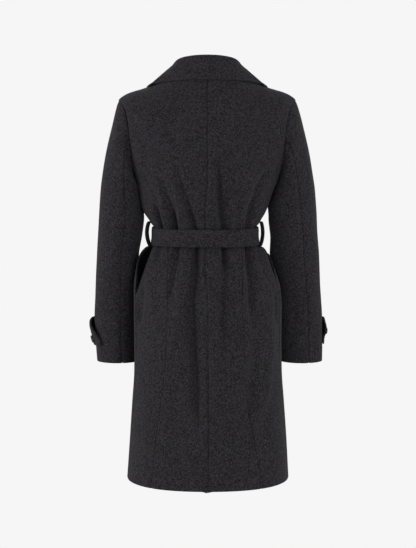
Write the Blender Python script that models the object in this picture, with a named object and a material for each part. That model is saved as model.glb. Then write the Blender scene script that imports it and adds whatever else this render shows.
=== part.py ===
"""A knee-length wrap coat in wool cloth, worn shape with nobody in it.

+Z is up, the wearer faces -Y and the wearer's left is +X. The origin is halfway
between the two side neck points, where the coat hangs on its wearer. All sizes
below are millimetres; MM turns them into Blender's metres.

The coat's body is one smooth form of stacked rings. Each ring is a rounded
outline with its own width, back depth and front depth, and its height differs
at the back, the side and the front, so the top rings lie over the shoulders.
Every panel is a patch of that form, given a wall. Heights in the tables are
those at the centre back, and "turn" is the angle round the body from there.
"""

import math
from collections import namedtuple

import bmesh
import bpy
import numpy as np

MM = 0.001
WALL = 2.4  # one layer of wool cloth
DOUBLE = 3.6  # two layers sewn together: collar, lapels, belt and tabs
SEAM_GAP = 0.3  # between two pieces at a seam
COLLAR_GAP = SEAM_GAP + 0.1  # between the collar or a lapel and the edge that it stands on
ARMHOLE_GAP = 0.5  # how far a sleeve starts below the armhole's line
LAYER_STEP = WALL + 1.6  # how far the under front lies inside the over front
FOLD_STEP = 4.0  # and how much farther by the belt
FOLD_REACH = 60.0  # how far from the belt's middle its folds need that, and then again to fade out
UNDER_START = 6.0  # past the over front's edge, where the under front starts to come out again
UNDER_FADE = 22.0  # and how far it takes
MITRE_LIMIT = 0.6  # a wall's corner reaches at most its thickness over this

TIP_HEIGHT = -112.0  # ring that reaches the shoulder tips
PIT_HEIGHT = -240.0  # ring through the armpits
BELT_TOP = -352.5
BELT_BOTTOM = -393.0
BELT_MIDDLE = (BELT_TOP + BELT_BOTTOM) / 2
HEM = -943.5
LEFT, RIGHT = 1, -1
BACK, FRONT = "back", "front"
LEVEL_POWER = 1.6  # how soon a ring leaves its middle's height on the way to the side
NEAR_TURN = 0.01  # turns and heights between the points that give a surface's direction
FAR_TURN = 0.02
NEAR_HEIGHT = 2.0
EDGE_STEP = 3.0
RIM_STEP = 4.0

# ---- tables ---------------------------------------------------------------

Ring = namedtuple(
    "Ring", "height side_z front_z half_width back_depth front_depth fullness shift"
)
RINGS = (
    Ring(6.0, 0.0, -30.0, 75.0, 62.0, 50.0, 2.05, 0.0),
    Ring(-15.0, -12.5, -50.0, 98.0, 71.5, 62.0, 2.0, 0.0),
    Ring(-38.0, -26.0, -70.0, 124.0, 80.5, 74.0, 2.0, 0.0),
    Ring(-60.0, -34.8, -90.0, 150.0, 88.5, 86.0, 2.05, 0.0),
    Ring(-80.0, -41.5, -107.0, 173.0, 95.0, 95.0, 2.1, 0.0),
    Ring(-98.0, -49.5, -121.0, 191.0, 100.0, 103.0, 2.2, 0.0),
    Ring(-112.0, -62.0, -133.0, 204.0, 104.0, 109.0, 2.3, 0.0),
    Ring(-160.0, -120.0, -172.0, 198.0, 112.0, 121.0, 2.3, 0.0),
    Ring(-200.0, -190.0, -206.0, 180.0, 115.5, 126.0, 2.3, 0.0),
    Ring(-240.0, -240.0, -240.0, 165.0, 115.0, 125.0, 2.3, 0.0),
    Ring(-275.0, -275.0, -275.0, 153.5, 112.0, 120.0, 2.3, 3.0),
    Ring(-300.0, -300.0, -300.0, 144.5, 109.0, 115.0, 2.3, 4.8),
    Ring(-320.0, -320.0, -320.0, 136.5, 106.0, 111.0, 2.3, 5.6),
    Ring(-334.0, -334.0, -334.0, 128.5, 103.0, 107.0, 2.3, 5.6),
    Ring(-345.0, -345.0, -345.0, 123.5, 99.0, 102.0, 2.3, 5.0),
    Ring(-352.0, -352.0, -352.0, 120.0, 94.5, 97.0, 2.3, 4.4),
    Ring(-393.5, -393.5, -393.5, 120.0, 94.5, 97.0, 2.3, 4.4),
    Ring(-402.0, -402.0, -402.0, 137.0, 103.5, 104.5, 2.3, 4.6),
    Ring(-416.0, -416.0, -416.0, 147.7, 109.5, 110.0, 2.3, 6.0),
    Ring(-430.0, -430.0, -430.0, 154.5, 113.5, 114.0, 2.3, 6.0),
    Ring(-463.0, -463.0, -463.0, 165.0, 119.5, 119.0, 2.3, 3.0),
    Ring(-496.0, -496.0, -496.0, 171.3, 124.0, 122.0, 2.3, 0.0),
    Ring(-543.0, -543.0, -543.0, 172.8, 128.0, 124.0, 2.3, -1.5),
    Ring(-619.0, -619.0, -619.0, 172.6, 131.0, 126.0, 2.3, -1.5),
    Ring(-686.0, -686.0, -686.0, 173.4, 134.0, 128.0, 2.3, -0.5),
    Ring(-762.0, -762.0, -762.0, 178.7, 138.0, 131.0, 2.3, -0.5),
    Ring(-839.0, -839.0, -839.0, 184.2, 142.5, 134.0, 2.3, -0.8),
    Ring(HEM, HEM, HEM, 191.0, 148.0, 138.0, 2.3, -0.6),
)

SideSeam = namedtuple("SideSeam", "height turn")
SIDE_SEAMS = (
    SideSeam(PIT_HEIGHT, 90.0),
    SideSeam(BELT_TOP, 90.0),
    SideSeam(BELT_BOTTOM, 90.0),
    SideSeam(-480.0, 74.0),
    SideSeam(-640.0, 73.0),
    SideSeam(HEM, 80.0),
)

# The side-back seams run from low on the armhole to the hem.
SideBackSeam = namedtuple("SideBackSeam", "height left_x right_x")
SIDE_BACK_SEAMS = (
    SideBackSeam(-188.8, 173.4, 173.4),
    SideBackSeam(-201.6, 165.5, 165.0),
    SideBackSeam(-214.4, 157.5, 156.0),
    SideBackSeam(-240.0, 142.0, 139.0),
    SideBackSeam(-275.0, 122.0, 117.0),
    SideBackSeam(-310.0, 102.0, 95.0),
    SideBackSeam(-352.0, 90.0, 81.5),
    SideBackSeam(-403.0, 88.0, 78.5),
    SideBackSeam(-470.0, 89.0, 79.0),
    SideBackSeam(-564.0, 90.5, 81.0),
    SideBackSeam(-659.0, 95.5, 84.5),
    SideBackSeam(-734.0, 104.0, 92.5),
    SideBackSeam(-809.0, 114.0, 104.0),
    SideBackSeam(-878.0, 121.5, 115.5),
    SideBackSeam(HEM, 127.5, 123.5),
)

# Where each front ends, as a distance past the centre front. It starts at the
# neck on the front's own side, crosses above the belt and hangs down as the
# wrap's edge.
FRONT_START = 92.0  # its edge lies between these turns, in degrees
FRONT_STOP = 268.0
FrontEdge = namedtuple("FrontEdge", "z over under")
FRONT_EDGES = (
    FrontEdge(0.0, -72.5, -72.5),
    FrontEdge(-40.0, -66.0, -66.0),
    FrontEdge(-80.0, -57.0, -57.0),
    FrontEdge(-130.0, -44.0, -44.0),
    FrontEdge(-180.0, -29.0, -29.0),
    FrontEdge(-225.0, -13.5, -13.5),
    FrontEdge(-262.0, 1.0, 1.0),
    FrontEdge(-300.0, 20.0, 20.0),
    FrontEdge(-330.0, 40.0, 36.0),
    FrontEdge(BELT_TOP, 62.0, 50.0),
    FrontEdge(BELT_BOTTOM, 76.0, 60.0),
    FrontEdge(-450.0, 84.0, 68.0),
    FrontEdge(-600.0, 95.0, 76.0),
    FrontEdge(-780.0, 103.0, 84.0),
    FrontEdge(HEM, 108.0, 88.0),
)

# Folds run from a top point to a bottom point. "deep" says where a fold is at
# its full depth: at the belt below it, at the belt above it, or halfway.
Fold = namedtuple("Fold", "face top_x top_z bottom_x bottom_z half_width depth deep")
ABOVE, BELOW, MIDWAY = "above the belt", "below the belt", "midway"
UNDER_BELT = 8.0  # how far past the belt's middle a fold runs on below the belt
UNDER_BELT_FADE = 12.0
MIDWAY_RISE = 2.2  # how steeply a midway fold grows from its ends
FOLDS = (
    Fold(BACK, 124, -258, 106, BELT_TOP, 8, 6.0, ABOVE),
    Fold(BACK, 82, -255, 73, BELT_TOP, 9, 9.0, ABOVE),
    Fold(BACK, 62, -250, 27, BELT_TOP, 11, 6.5, ABOVE),
    Fold(BACK, -24, -212, -39, BELT_TOP, 10, 9.0, ABOVE),
    Fold(BACK, -67, -300, -68, BELT_TOP, 8, 3.5, ABOVE),
    Fold(BACK, -109, -268, -95, BELT_TOP, 9, 7.5, ABOVE),
    Fold(FRONT, 122, -278, 104, BELT_TOP, 9, 7.0, ABOVE),
    Fold(FRONT, 92, -268, 78, BELT_TOP, 9, 7.5, ABOVE),
    Fold(FRONT, -36, -292, -34, BELT_TOP, 10, 5.5, ABOVE),
    Fold(FRONT, -82, -262, -69, BELT_TOP, 10, 8.0, ABOVE),
    Fold(FRONT, -120, -280, -103, BELT_TOP, 9, 7.0, ABOVE),
    Fold(BACK, 111, BELT_BOTTOM, 117, -452, 9, 6.0, BELOW),
    Fold(BACK, 69, BELT_BOTTOM, 77, -470, 10, 8.5, BELOW),
    Fold(BACK, 25, BELT_BOTTOM, 34, -520, 10, 9.5, BELOW),
    Fold(BACK, -40, BELT_BOTTOM, -39, -478, 10, 8.5, BELOW),
    Fold(BACK, -96, BELT_BOTTOM, -105, -490, 10, 8.0, BELOW),
    Fold(BACK, 34, -430, 14, -770, 26, 5.5, MIDWAY),
    Fold(BACK, -39, -440, -50, -660, 20, 3.5, MIDWAY),
    Fold(BACK, -104, -440, -114, -620, 18, 4.0, MIDWAY),
    Fold(BACK, -104, -690, -82, -860, 16, 3.5, MIDWAY),
    Fold(FRONT, 118, BELT_BOTTOM, 128, -460, 9, 7.0, BELOW),
    Fold(FRONT, 90, BELT_BOTTOM, 99, -480, 9, 7.0, BELOW),
    Fold(FRONT, -34, BELT_BOTTOM, -37, -480, 10, 7.5, BELOW),
    Fold(FRONT, -72, BELT_BOTTOM, -80, -500, 10, 8.5, BELOW),
    Fold(FRONT, -112, BELT_BOTTOM, -122, -470, 9, 7.0, BELOW),
    Fold(FRONT, -78, -450, -88, -760, 24, 4.5, MIDWAY),
    Fold(FRONT, 128, -450, 136, -700, 22, 4.0, MIDWAY),
)

# Sleeve rings, outer and inner points and depth. The first is the armhole.
# hollow is how far the armhole's seam bows towards the neck.
SleeveRing = namedtuple(
    "SleeveRing",
    "outer_x outer_z inner_x inner_z middle_y half_depth hollow right_out right_in",
)
SLEEVE_RINGS = (
    SleeveRing(204.0, -62, 165.0, -240, 0, 56.0, 7.0, 0, 0),
    SleeveRing(208.5, -76, 165.2, -243, 0, 58.5, 4.6, 0, 0),
    SleeveRing(213.5, -95, 163.4, -247, -0.5, 61.0, 2.6, 0, 0),
    SleeveRing(219.0, -118, 162.6, -252, -1, 62.5, 1.2, 0, 0),
    SleeveRing(226.0, -146, 158.0, -259, -3, 63.5, 0.4, 0, 0),
    SleeveRing(234.0, -180, 154.5, -269, -6, 63.5, 0, 1, -1),
    SleeveRing(241.5, -220, 151.5, -284, -10, 63.0, 0, 2, -3),
    SleeveRing(247.7, -264, 150.0, -304, -13, 62.0, 0, 3, -4),
    SleeveRing(251.8, -314, 150.2, -332, -16, 61.0, 0, 4, -4.5),
    SleeveRing(255.8, -366, 153.0, -372, -21, 59.5, 0, 3, -5),
    SleeveRing(260.0, -418, 160.5, -420, -31, 57.0, 0, 3.5, -8),
    SleeveRing(262.8, -458, 162.6, -458, -42, 54.6, 0, 3.5, -5),
    SleeveRing(264.8, -490, 163.4, -490, -50, 53.0, 0, 3.5, -2),
    SleeveRing(267.0, -526, 164.0, -526, -58, 51.5, 0, 4.5, 0),
    SleeveRing(269.8, -572, 165.0, -572, -67, 49.5, 0, 5.5, 3),
    SleeveRing(269.3, -613, 164.5, -613, -73, 47.5, 0, 7, 5),
    SleeveRing(267.5, -650, 164.0, -650, -77, 45.5, 0, 10, 8),
    SleeveRing(265.5, -679.5, 163.5, -679.5, -80, 44.0, 0, 12, 10.5),
)
HOLLOW_POWER = 1.5  # how much of that bow lies near the shoulder
SLEEVE_COLUMNS = 20
SLEEVE_CLEAR = 2.4  # between a sleeve and the body
CLEAR_FADE = 10.0  # height below the armpit over which that gap opens
ELBOW = 0.55  # the elbow's place, as a part of the sleeve's rings
HIND_SEAM = 5  # column of the hind-arm seam, counted back from the outer edge
FORE_SEAM = 7  # column of the forearm seam, counted forwards
SEAM_TURN = {LEFT: 14.0, RIGHT: -19.0}  # degrees the hind-arm seam moves by the elbow

# The collar, from the centre back round to its front end. Along the neck its
# sections stand on columns of the back and then of the front, as far as the
# front's corner. From there they go down the front's edge.
CollarSection = namedtuple(
    "CollarSection", "column edge_z stand off_share roll fall_face fall_x fall_z lift"
)
COLLAR_SECTIONS = (
    CollarSection(0, None, 33.0, 0.25, 5.5, BACK, 0.0, -20.5, 3.0),
    CollarSection(1, None, 32.8, 0.25, 5.5, BACK, 17.0, -20.5, 3.0),
    CollarSection(2, None, 32.4, 0.25, 5.5, BACK, 34.0, -20.5, 3.0),
    CollarSection(3, None, 31.6, 0.25, 5.5, BACK, 51.0, -20.5, 3.0),
    CollarSection(4, None, 30.3, 0.25, 5.5, BACK, 68.0, -20.8, 3.0),
    CollarSection(5, None, 28.4, 0.25, 5.5, BACK, 85.0, -21.5, 3.0),
    CollarSection(6, None, 26.0, 0.27, 5.5, BACK, 101.0, -23.2, 3.2),
    CollarSection(7, None, 23.5, 0.3, 5.4, BACK, 117.0, -26.5, 3.4),
    CollarSection(8, None, 21.0, 0.33, 5.3, BACK, 131.0, -30.5, 3.6),
    CollarSection(9, None, 18.5, 0.36, 5.2, FRONT, 140.0, -36.0, 3.6),
    CollarSection(10, None, 17.0, 0.4, 5.1, FRONT, 142.0, -41.0, 3.6),
    CollarSection(11, None, 15.0, 0.45, 5.0, FRONT, 143.0, -46.0, 3.6),
    CollarSection(None, -11, 12.5, 0.6, 4.9, FRONT, 143.0, -51.0, 3.6),
    CollarSection(None, -21, 9.5, 0.8, 4.8, FRONT, 141.0, -57.0, 3.6),
    CollarSection(None, -32, 7.0, 0.95, 4.6, FRONT, 138.0, -62.5, 3.6),
    CollarSection(None, -44, 5.0, 1.0, 4.4, FRONT, 133.0, -67.0, 3.6),
)

# Lapels, drawn as seen from the front: the outer edge from its peak down.
LapelEdge = namedtuple("LapelEdge", "x z")
LAPEL_EDGE = (
    LapelEdge(136.0, -95.0),
    LapelEdge(131.0, -130.0),
    LapelEdge(118.0, -175.0),
    LapelEdge(95.0, -224.0),
    LapelEdge(60.0, -270.0),
    LapelEdge(16.0, -306.0),
    LapelEdge(-24.0, -326.0),
)
Lapel = namedtuple("Lapel", "name side roll_top roll_end edge_end")
LAPELS = (
    Lapel("lapel_right", RIGHT, -46.0, -322.0, -326.0),
    Lapel("lapel_left", LEFT, -46.0, -239.0, -292.0),
)
# How a collar or lapel turns over: parts of its stand, then parts of its roll
# up and out of the cloth. From its last point the fall is divided in parts.
TurnPoint = namedtuple("TurnPoint", "stand rise aside")
TURN_POINTS = (
    TurnPoint(0.5, 0.0, 0.0),
    TurnPoint(0.82, 0.0, 0.08),
    TurnPoint(1.0, -0.05, 0.45),
    TurnPoint(1.0, 0.05, 1.1),
    TurnPoint(1.0, -0.45, 1.75),
)
FALL_START = TurnPoint(1.0, -1.2, 1.95)
FALL_PARTS = (0.0, 0.3, 0.55, 0.78, 1.0)
FRONT_NECK_STEP = 7  # the collar's sections stand on every seventh column of the front
LAPEL_ROWS = 11
LAPEL_STAND = 4.6
LAPEL_ROLL = 4.3
LAPEL_LIFT = 4.8
GORGE_GAP = 0.6  # between the collar's front end and the lapel's top
NOTCH = 8  # point of each section where the notch between them opens

BELT_THICK = 3.6
BELT_CLEAR = 0.5
BELT_CROWN = 0.4  # how much thicker it is along its middle
BELT_TRIM = 0.5  # how far its edges lie inside BELT_TOP and BELT_BOTTOM
BELT_COLUMNS = 60
KNOT_X = 22.0
KNOT_HALF = (23.0, 8.5, 27.0)
KNOT_CLEAR = 0.5  # between the knot and the belt
KNOT_POWER = 0.55  # how square the knot is: 1 is a ball
KNOT_TAPER = 0.12  # how much narrower it is at its top
Tail = namedtuple("Tail", "name top_x bottom_x bottom_z")
TAILS = (
    Tail("belt_tail_long", KNOT_X - 10.5, KNOT_X - 27.0, -700.0),
    Tail("belt_tail_short", KNOT_X + 10.5, KNOT_X + 25.0, -655.0),
)
TAIL_WIDTH = 40.5
TAIL_PINCHED = 18.0
TAIL_THICK = 3.2
TAIL_CLEAR = 0.8  # between a tail and the front
TAIL_DROP = 5.0  # how far below the knot a tail starts
TAIL_LIFT = 3.5  # how far the knot holds its top off the front
TAIL_OPENS = 3.2  # the tails have opened and parted by one part in this of their length
TAIL_SETTLES = 6.0
TAIL_ROWS = 11
TAIL_COLUMNS = (-0.5, -0.17, 0.17, 0.5)

Loop = namedtuple("Loop", "side bulge")
LOOPS = (Loop(LEFT, 9.0), Loop(RIGHT, 6.2))
LOOP_TOP = -340.5
LOOP_BOTTOM = -397.0
LOOP_WIDTH = 12.0
LOOP_THICK = 3.4
LOOP_CLEAR = 1.2  # between its sewn ends and the coat
LOOP_POWER = 0.7  # how full its bulge is
LOOP_ROWS = 10

# Cuff tabs run round the outer half of each cuff, from the forearm seam to a
# free end. Each row gives that end and how far the tab stands off the sleeve.
TabRow = namedtuple("TabRow", "z left_end left_off right_end right_off")
TAB_ROWS = (
    TabRow(-574.0, 6.0, 9.5, 2.0, 3.5),
    TabRow(-596.0, 25.0, 7.5, 6.0, 5.2),
    TabRow(-618.0, 43.0, 4.0, 9.0, 6.4),
    TabRow(-641.0, 50.0, 0.8, 8.0, 7.2),
)
TAB_THICK = 3.4
TAB_COLUMNS = 9
TAB_CLEAR = 1.0  # between a tab's sewn end and the sleeve
TAB_START = 0.06  # how far past the forearm seam it starts, in radians
TAB_LEAVES = -75.0  # the turn where it starts to stand off, in degrees
TAB_RISE = 70.0  # and how many degrees that takes
BUTTON_RADIUS = 9.0
BUTTON_THICK = 3.2
BUTTON_SEGMENTS = 16
BUTTON_SUNK = 0.05  # how far a button is pressed into its tab
BUTTON_STEP = 0.05  # turn between the points that give its direction
ButtonRing = namedtuple("ButtonRing", "radius rise")
BUTTON_PROFILE = (
    ButtonRing(0.0, 0.0),
    ButtonRing(0.8, 0.0),
    ButtonRing(1.0, 0.35),
    ButtonRing(1.0, 0.8),
    ButtonRing(0.86, 1.0),
    ButtonRing(0.7, 0.75),
    ButtonRing(0.0, 0.75),
)
Button = namedtuple("Button", "side z turn")
BUTTONS = (Button(LEFT, -626.0, 14.0), Button(RIGHT, -610.0, -14.0))

POCKET_TOP = -490.0
POCKET_BOTTOM = -640.0
POCKET_GAPE = 1.6  # how far each lip of the pocket stands back from the seam
POCKET_END = 4.0  # how far the gape runs past each end of the pocket
POCKET_FADE = 14.0  # and the height over which it closes
FACING_THICK = 1.6
FACING_CLEAR = 1.6  # between the facing and the panels over it
FACING_SHORT = 8.0  # how far its ends lie inside the pocket's
FACING_ROWS = 6
FACING_TURNS = (-0.07, 0.02, 0.11, 0.2)  # its columns, in radians from the side seam

# ---- reading the tables ---------------------------------------------------


class Track:
    """A smooth line through one column of a table that never swings past its values."""

    def __init__(self, table, key, column):
        rows = sorted((getattr(row, key), getattr(row, column)) for row in table)
        self.keys = np.array([row[0] for row in rows], float)
        self.values = np.array([row[1] for row in rows], float)
        steps = np.diff(self.keys)
        rises = np.diff(self.values) / steps
        slopes = np.zeros(len(rows))
        slopes[0] = rises[0]
        slopes[-1] = rises[-1]
        for k in range(1, len(rows) - 1):
            before, after = rises[k - 1], rises[k]
            if before * after > 0:
                near = 2 * steps[k] + steps[k - 1]
                far = steps[k] + 2 * steps[k - 1]
                slopes[k] = (near + far) / (near / before + far / after)
        self.slopes = slopes

    def __call__(self, at):
        keys = self.keys
        at = min(max(at, keys[0]), keys[-1])
        k = min(max(int(np.searchsorted(keys, at)) - 1, 0), len(keys) - 2)
        step = keys[k + 1] - keys[k]
        f = (at - keys[k]) / step
        return (
            self.values[k] * (1 + 2 * f) * (1 - f) ** 2
            + self.slopes[k] * step * f * (1 - f) ** 2
            + self.values[k + 1] * (3 - 2 * f) * f**2
            - self.slopes[k + 1] * step * (1 - f) * f**2
        )


RING = {name: Track(RINGS, "height", name) for name in Ring._fields[1:]}
SIDE_SEAM_TURN = Track(SIDE_SEAMS, "height", "turn")
SIDE_BACK_X = {
    LEFT: Track(SIDE_BACK_SEAMS, "height", "left_x"),
    RIGHT: Track(SIDE_BACK_SEAMS, "height", "right_x"),
}
OVER_EDGE = Track(FRONT_EDGES, "z", "over")
UNDER_EDGE = Track(FRONT_EDGES, "z", "under")


def blend(a, b, f):
    return a + (b - a) * f


def ease(f):
    f = min(max(f, 0.0), 1.0)
    return f * f * (3 - 2 * f)


def unit(vector):
    return vector / max(np.linalg.norm(vector), 1e-9)


# ---- the form of the body -------------------------------------------------


def armhole_point(ring, turn, side):
    """A point of the sleeve's ring: turn 0 is its outer edge, positive to the back."""
    out = ring.outer_x + (ring.right_out if side == RIGHT else 0)
    inn = ring.inner_x + (ring.right_in if side == RIGHT else 0)
    rise = math.cos(turn)
    across = math.sin(turn)
    x = (out + inn) / 2 + (out - inn) / 2 * rise
    x -= ring.hollow * abs(across) * (1 + rise) ** HOLLOW_POWER
    y = ring.middle_y + ring.half_depth * across
    z = (ring.outer_z + ring.inner_z) / 2 + (ring.outer_z - ring.inner_z) / 2 * rise
    return np.array([side * x, y, z])


def ring_at(height, face):
    """The sizes of the body's ring at this height, and where it ends at the side."""
    sizes = {name: track(height) for name, track in RING.items()}
    depth = sizes["back_depth"] if face == BACK else sizes["front_depth"]
    n = sizes["fullness"]
    end_turn = math.pi / 2
    end_z = sizes["side_z"]
    half_width = sizes["half_width"]
    if PIT_HEIGHT < height < TIP_HEIGHT:
        seam = math.pi * (TIP_HEIGHT - height) / (TIP_HEIGHT - PIT_HEIGHT)
        end = armhole_point(SLEEVE_RINGS[0], seam if face == BACK else -seam, LEFT)
        half_width = end[0] / (1 - (abs(end[1]) / depth) ** n) ** (1 / n)
        end_turn = math.asin(min((end[0] / half_width) ** (n / 2), 1.0))
        end_z = end[2]
    elif height <= PIT_HEIGHT:
        end_turn = math.radians(SIDE_SEAM_TURN(height))
    return sizes, half_width, n, end_turn, end_z


def smooth_point(height, turn, face):
    """A point of the body's form without folds. turn is signed, in radians from the centre back."""
    sizes, half_width, n, end_turn, end_z = ring_at(height, face)
    across, along = math.sin(turn), math.cos(turn)
    depth = sizes["back_depth"] if along > 0 else sizes["front_depth"]
    x = sizes["shift"] + half_width * math.copysign(abs(across) ** (2 / n), across)
    y = depth * math.copysign(abs(along) ** (2 / n), along)
    middle_z = height if along > 0 else sizes["front_z"]
    level = 1 - abs(along) ** LEVEL_POWER
    if PIT_HEIGHT < height < TIP_HEIGHT:
        level /= 1 - abs(math.cos(end_turn)) ** LEVEL_POWER
    z = blend(middle_z, end_z, level)
    return np.array([x, y, z])


def outward(height, turn, face):
    """The level direction that points out of the body here."""
    ahead = smooth_point(height, turn + NEAR_TURN, face)
    behind = smooth_point(height, turn - NEAR_TURN, face)
    along = ahead - behind
    return unit(np.array([-along[1], along[0], 0.0]))


def turn_at(height, x, face, side):
    """The turn where this ring passes x, on the side given."""
    sizes, half_width, n, _, _ = ring_at(height, face)
    reach = min(abs(x - sizes["shift"]) / half_width, 1.0)
    turn = math.asin(reach ** (n / 2)) * math.copysign(1, x - sizes["shift"])
    return turn if face == BACK else side * math.pi - turn


def fold_depth(height, point, face):
    """How far the cloth is pressed in here by the folds that cross this height."""
    total = 0.0
    for fold in FOLDS:
        if fold.face != face:
            continue
        f = (fold.top_z - height) / (fold.top_z - fold.bottom_z)
        if fold.deep == ABOVE:
            strength = ease(f) * ease((height - BELT_MIDDLE + UNDER_BELT) / UNDER_BELT_FADE)
        elif fold.deep == BELOW:
            strength = ease(1 - f) * ease((BELT_MIDDLE + UNDER_BELT - height) / UNDER_BELT_FADE)
        else:
            strength = ease(MIDWAY_RISE * f) * ease(MIDWAY_RISE * (1 - f))
        if strength <= 0:
            continue
        x = blend(fold.top_x, fold.bottom_x, min(max(f, 0.0), 1.0))
        side = LEFT if x > 0 else RIGHT
        centre = smooth_point(height, turn_at(height, x, face, side), face)
        away = math.hypot(point[0] - centre[0], point[1] - centre[1])
        total += fold.depth * strength * math.exp(-((away / fold.half_width) ** 2))
    return total


def under_step(x, z):
    """How far in the under front lies where the over front covers it. It is more by the belt's folds."""
    past = x - OVER_EDGE(z)
    by_folds = 1 - ease((abs(z - BELT_MIDDLE) - FOLD_REACH) / FOLD_REACH)
    return (LAYER_STEP + FOLD_STEP * by_folds) * (1 - ease((past - UNDER_START) / UNDER_FADE))


def cloth_point(height, turn, face, under=False):
    point = smooth_point(height, turn, face)
    inward = fold_depth(height, point, face)
    if under:
        inward += under_step(point[0], point[2])
    return point - outward(height, turn, face) * inward


def way_out(height, turn, face):
    """The direction straight out of the cloth here."""
    beside = smooth_point(height, turn + FAR_TURN, face) - smooth_point(height, turn - FAR_TURN, face)
    above = smooth_point(height + NEAR_HEIGHT, turn, face)
    below = smooth_point(height - NEAR_HEIGHT, turn, face) - above
    return unit(np.cross(beside, below))


def surface_at(x, z, face, under=False):
    """The body's outer surface at this place as seen from behind or in front, and the way out."""
    side = LEFT if x >= 0 else RIGHT
    high, low = RINGS[0].height, HEM
    for _ in range(30):
        middle = (high + low) / 2
        sizes, half_width, _, _, _ = ring_at(middle, face)
        narrow = abs(x - sizes["shift"]) >= half_width and middle > TIP_HEIGHT
        point = smooth_point(middle, turn_at(middle, x, face, side), face)
        if narrow or point[2] > z:
            high = middle
        else:
            low = middle
    turn = turn_at(low, x, face, side)
    here = smooth_point(low, turn, face)
    out = way_out(low, turn, face)
    if under:
        here = here - out * under_step(x, z)
    return here, out


def laid(x, z, face, lift, under=False):
    """A point that lies this far off the body's surface."""
    here, out = surface_at(x, z, face, under)
    return here + out * lift


def held_off(point, lift, face, under=False):
    """The point, moved out where it would be nearer than this to the body."""
    here, out = surface_at(point[0], point[2], face, under)
    gap = float(np.dot(point - here, out))
    return point + out * max(lift - gap, 0.0)


# ---- rows and columns of the panels ---------------------------------------

ARMHOLE_STEPS = 10
BODY_HEIGHTS = (
    [row.height for row in RINGS if row.height >= TIP_HEIGHT]
    + [blend(TIP_HEIGHT, PIT_HEIGHT, k / ARMHOLE_STEPS) for k in range(1, ARMHOLE_STEPS)]
    + [PIT_HEIGHT, -262.0, -284.0, -303.0, -319.0, -333.0, -344.0, -352.0]
    + [BELT_MIDDLE, -393.5, -400.0, -408.0, -419.0, -435.0, -458.0, -488.0]
    + [-526.0, -572.0, -612.0, -642.0, -690.0, -750.0, -813.0, -878.0, HEM]
)
TIP_ROW = BODY_HEIGHTS.index(TIP_HEIGHT)
PIT_ROW = BODY_HEIGHTS.index(PIT_HEIGHT)
SIDE_BACK_ROW = TIP_ROW + 6  # the row where the side-back seam leaves the armhole
TIP_BLUNT = 0.3  # where the side back's tip is cut off above that row, as a part of the row

# Columns near the belt, as parts of each panel's width, so that one lies in
# each fold. Away from the belt they are even.
BACK_COLUMNS = (0, 0.10, 0.20, 0.29, 0.40, 0.51, 0.63, 0.74, 0.84, 1)
SIDE_BACK_COLUMNS = (0, 0.14, 0.30, 0.52, 0.76, 1)
FRONT_COLUMNS = tuple(k / 14 for k in range(15))
FOLD_COLUMNS_REACH = 60.0  # how far from the belt's middle the columns keep to the folds
FOLD_COLUMNS_FADE = 110.0


def column_parts(columns, height):
    count = len(columns) - 1
    near = 1 - ease((abs(height - BELT_MIDDLE) - FOLD_COLUMNS_REACH) / FOLD_COLUMNS_FADE)
    return [blend(k / count, part, near) for k, part in enumerate(columns)]


def spread(height, face, start, end, parts):
    """Turns that divide a stretch of ring into these parts of its length."""
    turns = np.linspace(start, end, 33)
    points = np.array([smooth_point(height, turn, face) for turn in turns])
    lengths = np.linalg.norm(np.diff(points, axis=0), axis=1)
    run = np.concatenate([[0.0], np.cumsum(lengths)])
    return np.interp([part * run[-1] for part in parts], run, turns)


def back_turns(height, row, side):
    """Turns of one half back: the centre back's columns, then the side back's."""
    _, _, _, end, _ = ring_at(height, BACK)
    seam = end
    if row >= SIDE_BACK_ROW:
        seam = abs(turn_at(height, side * SIDE_BACK_X[side](height), BACK, side))
    centre = spread(height, BACK, 0.0, side * seam, column_parts(BACK_COLUMNS, height))
    outer = spread(height, BACK, side * seam, side * end, column_parts(SIDE_BACK_COLUMNS, height))
    return centre, outer


def front_end_turn(height, side):
    """The turn where this row meets the front's own free edge."""
    edge = OVER_EDGE if side == RIGHT else UNDER_EDGE
    near, far = math.radians(FRONT_START), math.radians(FRONT_STOP)
    for _ in range(40):
        middle = (near + far) / 2
        point = smooth_point(height, side * middle, FRONT)
        if side * point[0] > -edge(point[2]):
            near = middle
        else:
            far = middle
    return side * near


def front_turns(height, side):
    _, _, _, end, _ = ring_at(height, FRONT)
    if PIT_HEIGHT < height < TIP_HEIGHT:
        end = math.pi - end
    return spread(height, FRONT, side * end, front_end_turn(height, side), FRONT_COLUMNS)


def grid_normals(grid, closed=False):
    """The direction across each point of a grid, for rows going down and columns to the wearer's left."""
    down = np.gradient(grid, axis=0)
    if closed:
        left = (np.roll(grid, -1, axis=1) - np.roll(grid, 1, axis=1)) / 2
    else:
        left = np.gradient(grid, axis=1)
    out = np.cross(down, left)
    return out / np.maximum(np.linalg.norm(out, axis=2, keepdims=True), 1e-9)


def back_grid():
    """The whole back, columns from the right side seam to the left one."""
    rows = []
    for row, height in enumerate(BODY_HEIGHTS):
        left_centre, left_outer = back_turns(height, row, LEFT)
        right_centre, right_outer = back_turns(height, row, RIGHT)
        turns = [*right_outer[::-1], *right_centre[::-1][1:], *left_centre[1:], *left_outer[1:]]
        rows.append([cloth_point(height, turn, BACK) for turn in turns])
    return np.array(rows)


def front_grid(side):
    """One front, columns from its side seam to its free edge."""
    return np.array(
        [
            [cloth_point(height, turn, FRONT, side == LEFT) for turn in front_turns(height, side)]
            for height in BODY_HEIGHTS
        ]
    )


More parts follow.
